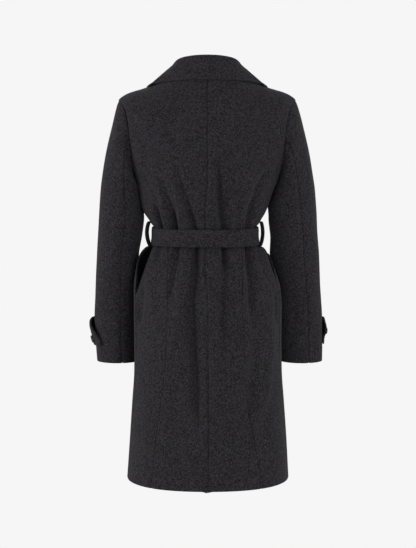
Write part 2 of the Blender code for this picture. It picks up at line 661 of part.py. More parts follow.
def kept_clear(point, side):
    """The point, moved sideways where it would touch the body below the armpit."""
    x, y, z = point
    clear = SLEEVE_CLEAR * ease((PIT_HEIGHT - z) / CLEAR_FADE)
    if clear <= 0:
        return point
    sizes = {name: track(z) for name, track in RING.items()}
    depth = (sizes["back_depth"] if y > 0 else sizes["front_depth"]) + clear
    reach = 1 - (abs(y) / depth) ** sizes["fullness"]
    if reach <= 0:
        return point
    edge = (sizes["half_width"] + clear) * reach ** (1 / sizes["fullness"]) + side * sizes["shift"]
    return np.array([side * max(side * x, edge), y, z])


def sleeve_grid(side):
    """Rows down the arm, columns round it from the outer edge towards the back."""
    rows = []
    elbow = ELBOW * (len(SLEEVE_RINGS) - 1)
    hind = 2 * math.pi * HIND_SEAM / SLEEVE_COLUMNS
    for row, ring in enumerate(SLEEVE_RINGS):
        moved = math.radians(SEAM_TURN[side]) * ease(row / elbow)
        turns = [2 * math.pi * column / SLEEVE_COLUMNS for column in range(SLEEVE_COLUMNS)]
        turns = [turn + moved * (0.5 + 0.5 * math.cos(turn - hind)) for turn in turns]
        rows.append([kept_clear(armhole_point(ring, turn, side), side) for turn in turns])
    return np.array(rows)


# ---- making solids --------------------------------------------------------


Look = namedtuple("Look", "colour roughness metallic")
WOOL = Look((0.03, 0.028, 0.032), 0.9, 0.0)
BUTTON_LOOK = Look((0.01, 0.01, 0.011), 0.4, 0.0)


def material_for(name, look):
    material = bpy.data.materials.new(name)
    material.use_nodes = True
    shader = material.node_tree.nodes["Principled BSDF"]
    shader.inputs["Base Color"].default_value = (*look.colour, 1.0)
    shader.inputs["Roughness"].default_value = look.roughness
    shader.inputs["Metallic"].default_value = look.metallic
    material.diffuse_color = (*look.colour, 1.0)
    return material


def finish(name, bm, look=WOOL):
    bmesh.ops.recalc_face_normals(bm, faces=bm.faces)
    if bm.calc_volume(signed=True) < 0:
        bmesh.ops.reverse_faces(bm, faces=bm.faces)
    mesh = bpy.data.meshes.new(name)
    bm.to_mesh(mesh)
    bm.free()
    mesh.shade_smooth()
    mesh.set_sharp_from_angle(angle=math.radians(50))
    mesh.materials.append(material_for(name, look))
    obj = bpy.data.objects.new(name, mesh)
    bpy.context.scene.collection.objects.link(obj)
    return obj


def walled(name, outer, inner, closed=False):
    """A solid between two grids of points. A closed one is a ring of columns."""
    bm = bmesh.new()
    rows, columns = outer.shape[:2]
    skins = [
        [[bm.verts.new(skin[i, j] * MM) for j in range(columns)] for i in range(rows)]
        for skin in (outer, inner)
    ]
    spans = columns if closed else columns - 1
    for skin in skins:
        for i in range(rows - 1):
            for j in range(spans):
                k = (j + 1) % columns
                bm.faces.new((skin[i][j], skin[i + 1][j], skin[i + 1][k], skin[i][k]))
    top, under = skins
    for i in (0, rows - 1):
        for j in range(spans):
            k = (j + 1) % columns
            rim_faces(bm, top[i][j], top[i][k], under[i][j], under[i][k])
    if not closed:
        for j in (0, columns - 1):
            for i in range(rows - 1):
                rim_faces(bm, top[i][j], top[i + 1][j], under[i][j], under[i + 1][j])
    return finish(name, bm)


def rim_faces(bm, a, b, under_a, under_b):
    """Two faces across a wall's rim. Both pieces at a seam split it the same way, from the higher point."""
    if a.co.z < b.co.z:
        a, b, under_a, under_b = b, a, under_b, under_a
    bm.faces.new((a, b, under_b))
    bm.faces.new((a, under_b, under_a))


def inset(grid, columns=(), rows=(), by=SEAM_GAP / 2):
    """How far to move a grid's border points in along the cloth.

    by is how far at the columns, and may be one value for each row.
    """
    shift = np.zeros_like(grid)
    by = np.broadcast_to(np.asarray(by, float), grid.shape[:1])[:, None]
    for column in columns:
        along = grid[:, 1 if column == 0 else -2] - grid[:, column]
        shift[:, column] += by * along / np.linalg.norm(along, axis=1, keepdims=True)
    for row in rows:
        along = grid[1 if row == 0 else -2] - grid[row]
        shift[row] += ARMHOLE_GAP * along / np.linalg.norm(along, axis=1, keepdims=True)
    return shift


def shell(name, middle, thick, closed=False):
    """A solid of even thickness about a grid of points."""
    out = grid_normals(middle, closed) * thick / 2
    return walled(name, middle + out, middle - out, closed)


# ---- the coat's pieces ----------------------------------------------------


def wall_directions(back, fronts, sleeves):
    """For each grid, where its inner skin lies from its outer one. Pieces share it at their seams."""
    last = back.shape[1] - 1
    corner = len(SIDE_BACK_COLUMNS) - 1
    out = {"back": -grid_normals(back)}
    ends = {LEFT: last, RIGHT: 0}
    corners = {LEFT: last - corner, RIGHT: corner}
    for side in (LEFT, RIGHT):
        out["front", side] = grid_normals(fronts[side]) * -side
        out["sleeve", side] = grid_normals(sleeves[side], closed=True) * side
        body, front, sleeve = out["back"], out["front", side], out["sleeve", side]
        for row in range(len(BODY_HEIGHTS)):
            step = row - TIP_ROW
            columns = [ends[side]]
            if row < SIDE_BACK_ROW:
                columns = list(range(min(ends[side], corners[side]), max(ends[side], corners[side]) + 1))
            if 0 < step < ARMHOLE_STEPS:
                inmost = corners[side] if row < SIDE_BACK_ROW else ends[side]
                for grid, cells, nearest, column in (
                    (body, columns, inmost, step),
                    (front, [0], 0, SLEEVE_COLUMNS - step),
                ):
                    shared = unit(grid[row, nearest] + sleeve[0, column])
                    shared = shared / max(float(np.dot(shared, grid[row, nearest])), MITRE_LIMIT)
                    sleeve[0, column] = shared
                    for cell in cells:
                        grid[row, cell] = shared
                continue
            nearest = corners[side] if row < SIDE_BACK_ROW else ends[side]
            shared = unit(body[row, nearest] + front[row, 0])
            if step in (0, ARMHOLE_STEPS):
                column = step
                body_way = shared
                shared = unit(shared + sleeve[0, column])
                shared = shared / max(float(np.dot(shared, body_way)), MITRE_LIMIT)
                sleeve[0, column] = shared
            front[row, 0] = shared
            for cell in columns:
                body[row, cell] = shared
    return {key: ways * -WALL for key, ways in out.items()}


def pocket_gape(z):
    """How far each lip of a pocket stands back from the side seam at this height."""
    below_top = ease((POCKET_TOP + POCKET_END - z) / POCKET_FADE)
    above_bottom = ease((z - POCKET_BOTTOM + POCKET_END) / POCKET_FADE)
    return POCKET_GAPE * below_top * above_bottom


def build_panels():
    back = back_grid()
    fronts = {side: front_grid(side) for side in (LEFT, RIGHT)}
    sleeves = {side: sleeve_grid(side) for side in (LEFT, RIGHT)}
    walls = wall_directions(back, fronts, sleeves)

    def panel(name, grid, ways, columns=(), rows=(), by=SEAM_GAP / 2):
        moved = grid + inset(grid, columns, rows, by)
        walled(name, moved, moved + ways)

    last = back.shape[1] - 1
    corner = len(SIDE_BACK_COLUMNS) - 1
    centre = last // 2
    lips = [SEAM_GAP / 2 + pocket_gape(z) for z in BODY_HEIGHTS]
    pieces = {
        "back_right": (slice(corner, centre + 1), 0),
        "back_left": (slice(centre, last - corner + 1), 0),
        "side_back_right": (slice(0, corner + 1), SIDE_BACK_ROW),
        "side_back_left": (slice(last - corner, last + 1), SIDE_BACK_ROW),
    }
    for name, (columns, top) in pieces.items():
        by = SEAM_GAP / 2
        grid, ways = back[top:, columns], walls["back"][top:, columns]
        if top:
            tip = SIDE_BACK_ROW - 1
            grid = np.concatenate([blend(back[tip:top, columns], grid[:1], TIP_BLUNT), grid])
            ways = np.concatenate([blend(walls["back"][tip:top, columns], ways[:1], TIP_BLUNT), ways])
            by = [SEAM_GAP / 2, *lips[top:]]
        if name == "side_back_right":
            shift = inset(grid, [0], by=by) + inset(grid, [-1])
        elif name == "side_back_left":
            shift = inset(grid, [-1], by=by) + inset(grid, [0])
        else:
            shift = inset(grid, [0, -1])
        moved = grid + shift
        walled(name, moved, moved + ways)
    for side, name in ((LEFT, "front_left"), (RIGHT, "front_right")):
        panel(name, fronts[side], walls["front", side], [0], by=lips)
        word = name.split("_")[1]
        tube, ways = sleeves[side], walls["sleeve", side]
        upper = [k % SLEEVE_COLUMNS for k in range(-FORE_SEAM, HIND_SEAM + 1)]
        under = list(range(HIND_SEAM, SLEEVE_COLUMNS - FORE_SEAM + 1))
        panel("sleeve_upper_" + word, tube[:, upper], ways[:, upper], [0, -1], [0])
        panel("sleeve_under_" + word, tube[:, under], ways[:, under], [0, -1], [0])


def turned_section(rim, off, out, stand, off_share, roll, fall, face, lift, under):
    """One section of a collar or lapel: up from its seam, over the roll and down to its edge."""
    up = unit(off * off_share + np.array([0.0, 0.0, 1.0]) * (1 - off_share))
    tilt = float(np.linalg.norm(np.cross(up, off)))
    base = rim - out * WALL / 2 + off * (COLLAR_GAP + tilt * DOUBLE / 2)
    away = unit(out - up * float(np.dot(out, up)))

    def turned(point):
        return base + up * (point.stand * stand + point.rise * roll) + away * point.aside * roll

    points = [base, *(turned(point) for point in TURN_POINTS)]
    edge = laid(fall[0], fall[1], face, lift, under)
    start = turned(FALL_START)
    for part in FALL_PARTS:
        points.append(held_off(blend(start, edge, part), lift, face, under))
    return points


def front_edge_base(z, side):
    """The front's free edge at this height, the way off it and the way out of the cloth."""
    edge = OVER_EDGE if side == RIGHT else UNDER_EDGE
    under = side == LEFT
    here, out = surface_at(-side * edge(z), z, FRONT, under)
    high, low = z + EDGE_STEP, z - EDGE_STEP
    above, _ = surface_at(-side * edge(high), high, FRONT, under)
    below, _ = surface_at(-side * edge(low), low, FRONT, under)
    off = unit(np.cross(unit(above - below), out))
    off = off * math.copysign(1, -side * off[0])
    return here, off, out


def neck_base(column, side):
    """The neck edge at one of its columns, the way up off it and the way out of the cloth."""
    top, face = RINGS[0].height, BACK
    back, front = back_turns(top, 0, side)[0], front_turns(top, side)
    corner = len(back) + 1
    if column < len(back):
        turn = back[column]
    else:
        turn, face = front[FRONT_NECK_STEP * (column - len(back) + 1)], FRONT
    here = smooth_point(top, turn, face)
    out = way_out(top - NEAR_HEIGHT, turn, face)
    off = unit(here - smooth_point(top - RIM_STEP, turn, face))
    if column == corner:
        off = unit(off + front_edge_base(here[2] - RIM_STEP, side)[1])
    return here, off, out


def build_collar():
    halves = {}
    for side in (LEFT, RIGHT):
        sections = []
        for row in COLLAR_SECTIONS:
            if row.column is None:
                here, off, out = front_edge_base(row.edge_z, side)
            else:
                here, off, out = neck_base(row.column, side)
            sections.append(
                turned_section(here, off, out, row.stand, row.off_share, row.roll,
                               (side * row.fall_x, row.fall_z), row.fall_face, row.lift, False)
            )
        halves[side] = sections
    sections = halves[RIGHT][::-1] + halves[LEFT][1:]
    middle = np.array(sections).transpose(1, 0, 2)
    shell("collar", middle, DOUBLE)
    return {side: half[-1] for side, half in halves.items()}


def lapel_top(gorge, side, lift, under):
    """A lapel's top row: under the collar's end as far as the notch, then out to its peak."""
    points = []
    for point in gorge[: NOTCH + 1]:
        points.append(point - np.array([0.0, 0.0, GORGE_GAP]))
    notch = points[-1]
    rest = len(gorge) - NOTCH
    for k in range(1, rest):
        x = blend(notch[0], side * LAPEL_EDGE[0].x, k / (rest - 1))
        z = blend(notch[2], LAPEL_EDGE[0].z, k / (rest - 1))
        points.append(laid(x, z, FRONT, lift, under))
    return points


def build_lapels(gorges):
    edge_x = Track(LAPEL_EDGE, "z", "x")
    for lapel in LAPELS:
        sections = []
        for row in range(LAPEL_ROWS + 1):
            f = row / LAPEL_ROWS
            here, off, out = front_edge_base(blend(lapel.roll_top, lapel.roll_end, f), lapel.side)
            z = blend(LAPEL_EDGE[0].z, lapel.edge_end, f)
            under = lapel.side == LEFT
            if row == 0:
                sections.append(lapel_top(gorges[lapel.side], lapel.side, LAPEL_LIFT, under))
                continue
            sections.append(
                turned_section(here, off, out, LAPEL_STAND, 1.0, LAPEL_ROLL,
                               (lapel.side * edge_x(z), z), FRONT, LAPEL_LIFT, under)
            )
        middle = np.array(sections)
        shell(lapel.name, middle, DOUBLE)


def full_turn_point(height, turn):
    face = BACK if math.cos(turn) > 0 else FRONT
    return smooth_point(height, turn, face), outward(height, turn, face)


def build_belt():
    inner, outer = [], []
    for z, crown in ((BELT_TOP - BELT_TRIM, 0), (BELT_MIDDLE, BELT_CROWN), (BELT_BOTTOM + BELT_TRIM, 0)):
        inner_row, outer_row = [], []
        for column in range(BELT_COLUMNS):
            point, out = full_turn_point(BELT_MIDDLE, 2 * math.pi * column / BELT_COLUMNS)
            point[2] = z
            inner_row.append(point + out * BELT_CLEAR)
            outer_row.append(point + out * (BELT_CLEAR + BELT_THICK + crown))
        inner.append(inner_row)
        outer.append(outer_row)
    walled("belt", np.array(outer), np.array(inner), closed=True)


def build_knot_and_tails():
    front, _ = surface_at(KNOT_X, BELT_MIDDLE, FRONT)
    face_y = front[1] - BELT_CLEAR - BELT_THICK - BELT_CROWN - KNOT_CLEAR
    centre = np.array([KNOT_X, face_y - KNOT_HALF[1], BELT_MIDDLE])
    bm = bmesh.new()
    bmesh.ops.create_uvsphere(bm, u_segments=16, v_segments=10, radius=1.0)
    for vertex in bm.verts:
        x, y, z = (math.copysign(abs(part) ** KNOT_POWER, part) for part in vertex.co)
        x *= 1 - KNOT_TAPER * z
        place = centre + np.array([x, y, z]) * KNOT_HALF
        vertex.co = place * MM
    finish("belt_knot", bm)
    top_z = BELT_MIDDLE - KNOT_HALF[2] - TAIL_DROP
    for tail in TAILS:
        rows = []
        for k in range(TAIL_ROWS + 1):
            f = k / TAIL_ROWS
            z = blend(top_z, tail.bottom_z, f)
            x = blend(tail.top_x, tail.bottom_x, ease(f * TAIL_OPENS))
            width = blend(TAIL_PINCHED, TAIL_WIDTH, ease(f * TAIL_OPENS))
            row = []
            for across in TAIL_COLUMNS:
                lift = TAIL_THICK / 2 + TAIL_CLEAR + TAIL_LIFT * (1 - ease(f * TAIL_SETTLES))
                row.append(laid(x + across * width, z, FRONT, lift))
            rows.append(row)
        shell(tail.name, np.array(rows), TAIL_THICK)


def build_loops():
    for loop in LOOPS:
        turn = loop.side * math.pi / 2
        top, _ = full_turn_point(LOOP_TOP, turn)
        bottom, _ = full_turn_point(LOOP_BOTTOM, turn)
        start = loop.side * top[0] + LOOP_THICK / 2 + LOOP_CLEAR
        end = loop.side * bottom[0] + LOOP_THICK / 2 + LOOP_CLEAR
        rows = []
        for k in range(LOOP_ROWS + 1):
            f = k / LOOP_ROWS
            x = blend(start, end, f) + loop.bulge * math.sin(math.pi * f) ** LOOP_POWER
            z = blend(LOOP_TOP, LOOP_BOTTOM, f)
            rows.append([[loop.side * x, y * LOOP_WIDTH, z] for y in (-0.5, 0.0, 0.5)])
        name = "belt_loop_left" if loop.side == LEFT else "belt_loop_right"
        shell(name, np.array(rows), LOOP_THICK)


SLEEVE = {name: Track(SLEEVE_RINGS, "outer_z", name) for name in SleeveRing._fields if name != "outer_z"}


TAB_OFF = {LEFT: Track(TAB_ROWS, "z", "left_off"), RIGHT: Track(TAB_ROWS, "z", "right_off")}


def cuff_point(z, turn, side):
    """A point of the lower sleeve's surface and the level way out of it."""
    ring = SleeveRing(outer_z=z, **{name: track(z) for name, track in SLEEVE.items()})
    ring = ring._replace(inner_z=z)
    here = armhole_point(ring, turn, side)
    ahead = armhole_point(ring, turn + NEAR_TURN, side)
    along = ahead - armhole_point(ring, turn - NEAR_TURN, side)
    return here, unit(np.array([along[1], -along[0], 0.0])) * side


def tab_point(side, z, turn, lift):
    """A point this far off the cuff tab's inner skin."""
    ends = TAB_OFF[side]
    here, out = cuff_point(z, turn, side)
    leaves = ease((math.degrees(turn) - TAB_LEAVES) / TAB_RISE)
    return here + out * (TAB_CLEAR + ends(z) * leaves + lift)


def build_tabs():
    fore = -2 * math.pi * FORE_SEAM / SLEEVE_COLUMNS
    for side, word in ((LEFT, "left"), (RIGHT, "right")):
        inner, outer = [], []
        for row in TAB_ROWS:
            end = math.radians(row.left_end if side == LEFT else row.right_end)
            turns = [blend(fore + TAB_START, end, k / TAB_COLUMNS) for k in range(TAB_COLUMNS + 1)]
            inner.append([tab_point(side, row.z, turn, 0.0) for turn in turns])
            outer.append([tab_point(side, row.z, turn, TAB_THICK) for turn in turns])
        walled("cuff_tab_" + word, np.array(outer), np.array(inner))
    for button in BUTTONS:
        word = "left" if button.side == LEFT else "right"
        turn = math.radians(button.turn)
        here = tab_point(button.side, button.z, turn, TAB_THICK)
        beside = tab_point(button.side, button.z, turn + BUTTON_STEP, TAB_THICK) - here
        above = tab_point(button.side, button.z + EDGE_STEP, turn, TAB_THICK) - here
        out = unit(np.cross(beside, above)) * button.side
        build_button("cuff_button_" + word, here - out * BUTTON_SUNK, out)


def build_button(name, base, out):
    """A round button with a raised rim, lying on base and facing out."""
    beside = unit(np.cross(out, [0, 0, 1.0]))
    upward = np.cross(beside, out)
    bm = bmesh.new()
    rings = []
    for radius, rise in BUTTON_PROFILE:
        height = base + out * rise * BUTTON_THICK
        if radius == 0:
            rings.append([bm.verts.new(height * MM)])
            continue
        ring = []
        for k in range(BUTTON_SEGMENTS):
            turn = 2 * math.pi * k / BUTTON_SEGMENTS
            reach = (beside * math.cos(turn) + upward * math.sin(turn)) * radius * BUTTON_RADIUS
            ring.append(bm.verts.new((height + reach) * MM))
        rings.append(ring)
    for low, high in zip(rings, rings[1:]):
        for k in range(BUTTON_SEGMENTS):
            n = (k + 1) % BUTTON_SEGMENTS
            corners = [low[k % len(low)], low[n % len(low)], high[n % len(high)], high[k % len(high)]]
            bm.faces.new(list(dict.fromkeys(corners)))
    finish(name, bm, BUTTON_LOOK)


def build_pocket_facings():
    for side, word in ((LEFT, "left"), (RIGHT, "right")):
        rows = []
        for k in range(FACING_ROWS + 1):
            z = blend(POCKET_TOP + FACING_SHORT, POCKET_BOTTOM - FACING_SHORT, k / FACING_ROWS)
            seam = math.radians(SIDE_SEAM_TURN(z))
            row = []
            for reach in FACING_TURNS:
                turn = side * (seam + reach)
                face = FRONT if abs(turn) > math.pi / 2 else BACK
                point = cloth_point(z, turn, face)
                depth = WALL + FACING_CLEAR + FACING_THICK / 2
                row.append(point - outward(z, turn, face) * depth)
            rows.append(row)
        shell("pocket_facing_" + word, np.array(rows), FACING_THICK)


def main():
    for obj in list(bpy.data.objects):
        bpy.data.objects.remove(obj, do_unlink=True)
    build_panels()
    gorges = build_collar()
    build_lapels(gorges)
    build_belt()
    build_knot_and_tails()
    build_loops()
    build_tabs()
    build_pocket_facings()


if __name__ == "__main__":
    main()
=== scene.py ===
# %% [markdown]
# # A wool wrap coat, dressed on its frame
#
# The frame holds the coat's plain construction solids: its panels, sleeves, collar, lapels,
# belt, loops, cuff tabs and buttons, worn shape with nobody in it. This lesson puts real
# cloth in their place: thin closed shells with soft folds, pressed seams, topstitching and
# a marl wool finish. +Z is up, the wearer faces -Y and the wearer's left is +X.
#
# Clothes could be simulated on a body, but gathers under a tied belt are easier to place
# one by one, so each panel is one curved sheet worked out row by row and then given a wall.

# %% Load the frame
import math
from collections import namedtuple

import bpy
import numpy as np
from mathutils import Matrix, Vector


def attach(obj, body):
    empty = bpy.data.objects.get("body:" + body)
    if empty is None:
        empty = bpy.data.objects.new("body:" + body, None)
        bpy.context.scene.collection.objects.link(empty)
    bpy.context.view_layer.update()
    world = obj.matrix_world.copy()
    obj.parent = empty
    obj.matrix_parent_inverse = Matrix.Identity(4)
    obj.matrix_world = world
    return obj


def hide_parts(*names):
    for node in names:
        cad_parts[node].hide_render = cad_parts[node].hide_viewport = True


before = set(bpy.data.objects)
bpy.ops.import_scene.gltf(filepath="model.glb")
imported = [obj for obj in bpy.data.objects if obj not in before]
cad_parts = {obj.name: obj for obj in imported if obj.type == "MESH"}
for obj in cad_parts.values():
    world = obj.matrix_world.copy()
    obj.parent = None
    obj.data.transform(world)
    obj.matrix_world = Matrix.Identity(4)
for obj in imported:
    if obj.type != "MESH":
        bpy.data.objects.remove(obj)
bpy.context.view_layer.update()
MM = 0.001

# %% [markdown]
# ## The camera
#
# The coat is seen from behind, from three metres away at about the height of the shoulder
# blades, tipped down a little. A long lens from far off keeps the sleeves and the hem from
# spreading, as in a shop's picture of a garment.

# %% Camera
CAMERA_PLACE = (-0.002, 3.0, -0.134)
CAMERA_DIP = math.radians(6.26)
CAMERA_LENS, SENSOR_WIDTH = 84.87, 36
bpy.ops.object.camera_add(location=CAMERA_PLACE, rotation=(math.pi / 2 - CAMERA_DIP, 0, math.pi))
camera = bpy.context.object
camera.data.lens = CAMERA_LENS
camera.data.sensor_width = SENSOR_WIDTH
bpy.context.scene.camera = camera
print("camera at", CAMERA_PLACE, "lens", CAMERA_LENS)

# %% [markdown]
# ## Light and floor
#
# Dark wool only shows its folds when the light has a direction, and only stays soft when
# the lamps are large. So there is an even pale sky, a soft box a little to the camera's
# right, one off each side of the coat, one for its front, and a pale floor far below the
# hem, because the coat hangs as if its wearer stood on it.

# %% Light and floor
FLOOR_Z, FLOOR_SIZE = -1.45, 400
PALE = (0.92, 0.92, 0.92, 1)
SKY_LIGHT = 0.54
SOFT_BOXES = (
    # name, place, the place it looks at, size, power
    ("key_box", (-1.3, 3.2, -0.2), (0, 0, -0.5), 1.2, 27),
    ("left_box", (3.1, 0.5, -0.15), (0, 0, -0.5), 1.2, 36),
    ("right_box", (-3.1, 0.4, 0.5), (0, 0, -0.4), 1.2, 11),
    ("front_box", (0.6, -2.8, 1.2), (0, 0, -0.45), 1.8, 24),
)
for name, place, aim, size, power in SOFT_BOXES:
    bpy.ops.object.light_add(type="AREA", location=place)
    lamp = bpy.context.object
    lamp.name = name
    lamp.data.size = size
    lamp.data.energy = power
    lamp.rotation_euler = (Vector(aim) - lamp.location).to_track_quat("-Z", "Y").to_euler()

world = bpy.data.worlds.new("pale_sky")
bpy.context.scene.world = world
world.use_nodes = True
sky = world.node_tree.nodes["Background"]
sky.inputs["Color"].default_value = PALE
seen = world.node_tree.nodes.new("ShaderNodeLightPath")
dimmer = world.node_tree.nodes.new("ShaderNodeMapRange")
dimmer.inputs["To Min"].default_value = SKY_LIGHT
world.node_tree.links.new(seen.outputs["Is Camera Ray"], dimmer.inputs["Value"])
world.node_tree.links.new(dimmer.outputs["Result"], sky.inputs["Strength"])
bpy.context.scene.view_settings.view_transform = "Standard"

bpy.ops.mesh.primitive_plane_add(size=FLOOR_SIZE, location=(0, 0, FLOOR_Z))
floor = bpy.context.object
floor.name = "floor"
floor_paint = bpy.data.materials.new("pale_floor")
floor_paint.use_nodes = True
floor_shader = floor_paint.node_tree.nodes["Principled BSDF"]
floor_shader.inputs["Base Color"].default_value = (0, 0, 0, 1)
floor_shader.inputs["Specular IOR Level"].default_value = 0
floor_shader.inputs["Emission Color"].default_value = PALE
floor_shader.inputs["Emission Strength"].default_value = 1
floor.data.materials.append(floor_paint)
floor.visible_diffuse = False
floor.visible_glossy = False
print("floor at", FLOOR_Z)

# %% [markdown]
# ## The body's form
#
# Every panel lies on one smooth form of stacked rounded outlines. Each ring has its height
# at the centre back, at the side and at the centre front, so the top rings lie over the
# shoulders, and its own width and depths. A smooth track through each column of the table
# gives every height between. From the armpits down the rings are level. The frame's solids
# were made from nearly the same table: the cloth follows them within a few millimetres and
# blouses out a little more just above the belt. Sizes in the tables are millimetres.

# %% Tables of the body
SIDES = LEFT, RIGHT = 1, -1
BACK, FRONT = "back", "front"
TIP_HEIGHT = -112.0
PIT_HEIGHT = -240.0
BELT_TOP, BELT_BOTTOM = -352.5, -393.0
BELT_MIDDLE = (BELT_TOP + BELT_BOTTOM) / 2
HEM = -943.5

# height, side_z, front_z, half_width, back_depth, front_depth, fullness
SHOULDER_RINGS = (
    (6.0, 0.0, -30.0, 75.0, 62.0, 50.0, 2.05), (-15.0, -12.5, -50.0, 98.0, 71.5, 62.0, 2.0),
    (-38.0, -26.0, -70.0, 124.0, 80.5, 74.0, 2.0), (-60.0, -34.8, -90.0, 150.0, 88.5, 86.0, 2.05),
    (-80.0, -41.5, -107.0, 173.0, 95.0, 95.0, 2.1), (-98.0, -49.5, -121.0, 191.0, 100.0, 103.0, 2.2),
    (-112.0, -62.0, -133.0, 204.0, 104.0, 109.0, 2.3),
    (-160.0, -120.0, -172.0, 198.0, 112.0, 121.0, 2.3),
    (-200.0, -190.0, -206.0, 180.0, 115.5, 126.0, 2.3),
)
# height, half_width, back_depth, front_depth, shift
LEVEL_RINGS = (
    (-240.0, 165.0, 115.0, 125.0, 0.0), (-275.0, 153.5, 112.0, 120.0, 3.0),
    (-300.0, 147.7, 109.0, 115.0, 4.8), (-320.0, 140.1, 106.0, 111.0, 5.6),
    (-334.0, 131.1, 103.0, 107.0, 5.0), (-345.0, 124.7, 99.0, 102.0, 4.5),
    (-352.0, 120.0, 94.5, 97.0, 4.4), (-393.5, 120.0, 94.5, 97.0, 4.4),
    (-402.0, 137.0, 103.5, 104.5, 4.6), (-416.0, 147.7, 109.5, 110.0, 6.0),
    (-430.0, 154.5, 113.5, 114.0, 6.0), (-463.0, 165.0, 119.5, 119.0, 3.0),
    (-496.0, 171.3, 124.0, 122.0, 0.0), (-543.0, 172.8, 128.0, 124.0, -1.5),
    (-619.0, 172.6, 131.0, 126.0, -1.5), (-686.0, 173.4, 134.0, 128.0, -2.0),
    (-762.0, 178.7, 138.0, 131.0, -2.2), (-839.0, 184.2, 142.5, 134.0, -2.4),
    (HEM, 191.0, 148.0, 138.0, -1.6),
)
LEVEL_FULLNESS = 2.3
RINGS = np.array(
    [(*row, 0.0) for row in SHOULDER_RINGS]
    + [(z, z, z, *sizes, LEVEL_FULLNESS, shift) for z, *sizes, shift in LEVEL_RINGS]
)
# height, angle of the side seam from the centre back
SIDE_SEAMS = np.array((
    (PIT_HEIGHT, 90.0), (BELT_TOP, 90.0), (BELT_BOTTOM, 90.0),
    (-480.0, 74.0), (-640.0, 73.0), (HEM, 80.0),
))
# height, how far the left and the right side-back seams lie from the centre
SIDE_BACK_SEAMS = np.array((
    (-188.8, 173.4, 173.4), (-201.6, 165.5, 165.0), (-214.4, 157.5, 156.0), (-240.0, 142.0, 139.0),
    (-275.0, 122.0, 117.0), (-310.0, 102.0, 95.0), (-352.0, 90.0, 81.5), (-403.0, 88.0, 78.5),
    (-470.0, 89.0, 79.0), (-564.0, 90.5, 81.0), (-659.0, 95.5, 84.5), (-734.0, 104.0, 92.5),
    (-809.0, 114.0, 104.0), (-878.0, 121.5, 115.5), (HEM, 127.5, 123.5),
))
# height, how far the over front and the under front reach past the centre front
FRONT_EDGES = np.array((
    (0.0, -72.5, -72.5), (-40.0, -66.0, -66.0), (-80.0, -57.0, -57.0), (-130.0, -44.0, -44.0),
    (-180.0, -29.0, -29.0), (-225.0, -13.5, -13.5), (-262.0, 1.0, 1.0), (-300.0, 20.0, 20.0),
    (-330.0, 40.0, 36.0), (BELT_TOP, 62.0, 50.0), (BELT_BOTTOM, 76.0, 60.0), (-450.0, 84.0, 68.0),
    (-600.0, 95.0, 76.0), (-780.0, 103.0, 84.0), (HEM, 108.0, 88.0),
))
print("rings:", len(RINGS))

# %% Smooth tracks through a table


class Track:
    """A smooth line through rows of values that never swings past them."""

    def __init__(self, keys, values):
        order = np.argsort(keys)
        self.keys = np.asarray(keys, float)[order]
        self.values = np.asarray(values, float)[order]
        steps = np.diff(self.keys)
        if self.values.ndim > 1:
            steps = steps[:, None]
        rises = np.diff(self.values, axis=0) / steps
        slopes = np.zeros_like(self.values)
        slopes[0], slopes[-1] = rises[0], rises[-1]
        before, after = rises[:-1], rises[1:]
        near, far = 2 * steps[1:] + steps[:-1], steps[1:] + 2 * steps[:-1]
        alike = before * after > 0
        mean = (near + far) / (near / np.where(alike, before, 1) + far / np.where(alike, after, 1))
        slopes[1:-1] = np.where(alike, mean, 0)
        self.slopes = slopes

    def __call__(self, at):
        at = np.clip(at, self.keys[0], self.keys[-1])
        k = np.clip(np.searchsorted(self.keys, at) - 1, 0, len(self.keys) - 2)
        step = self.keys[k + 1] - self.keys[k]
        f = (at - self.keys[k]) / step
        if self.values.ndim > 1 and np.ndim(at):
            step, f = step[:, None], f[:, None]
        return (
            self.values[k] * (1 + 2 * f) * (1 - f) ** 2
            + self.slopes[k] * step * f * (1 - f) ** 2
            + self.values[k + 1] * (3 - 2 * f) * f**2
            - self.slopes[k + 1] * step * (1 - f) * f**2
        )


def columns_of(table):
    """A track by a table's first column through its other ones."""
    return Track(table[:, 0], table[:, 1:] if table.shape[1] > 2 else table[:, 1])


ring_sizes = columns_of(RINGS)
side_seam_angle = columns_of(SIDE_SEAMS)
side_back_x = {LEFT: columns_of(SIDE_BACK_SEAMS[:, :2]), RIGHT: columns_of(SIDE_BACK_SEAMS[:, ::2])}
over_edge, under_edge = columns_of(FRONT_EDGES[:, :2]), columns_of(FRONT_EDGES[:, ::2])
print("half width at the armpits:", round(float(ring_sizes(PIT_HEIGHT)[2]), 1))

# %% [markdown]
# ## Points on the form
#
# A place on the body is a height and a turn round it from the centre back. Above the armpits
# each row ends at the armhole, which is the top ring of the sleeve, so a row is widened until
# it meets that ring.

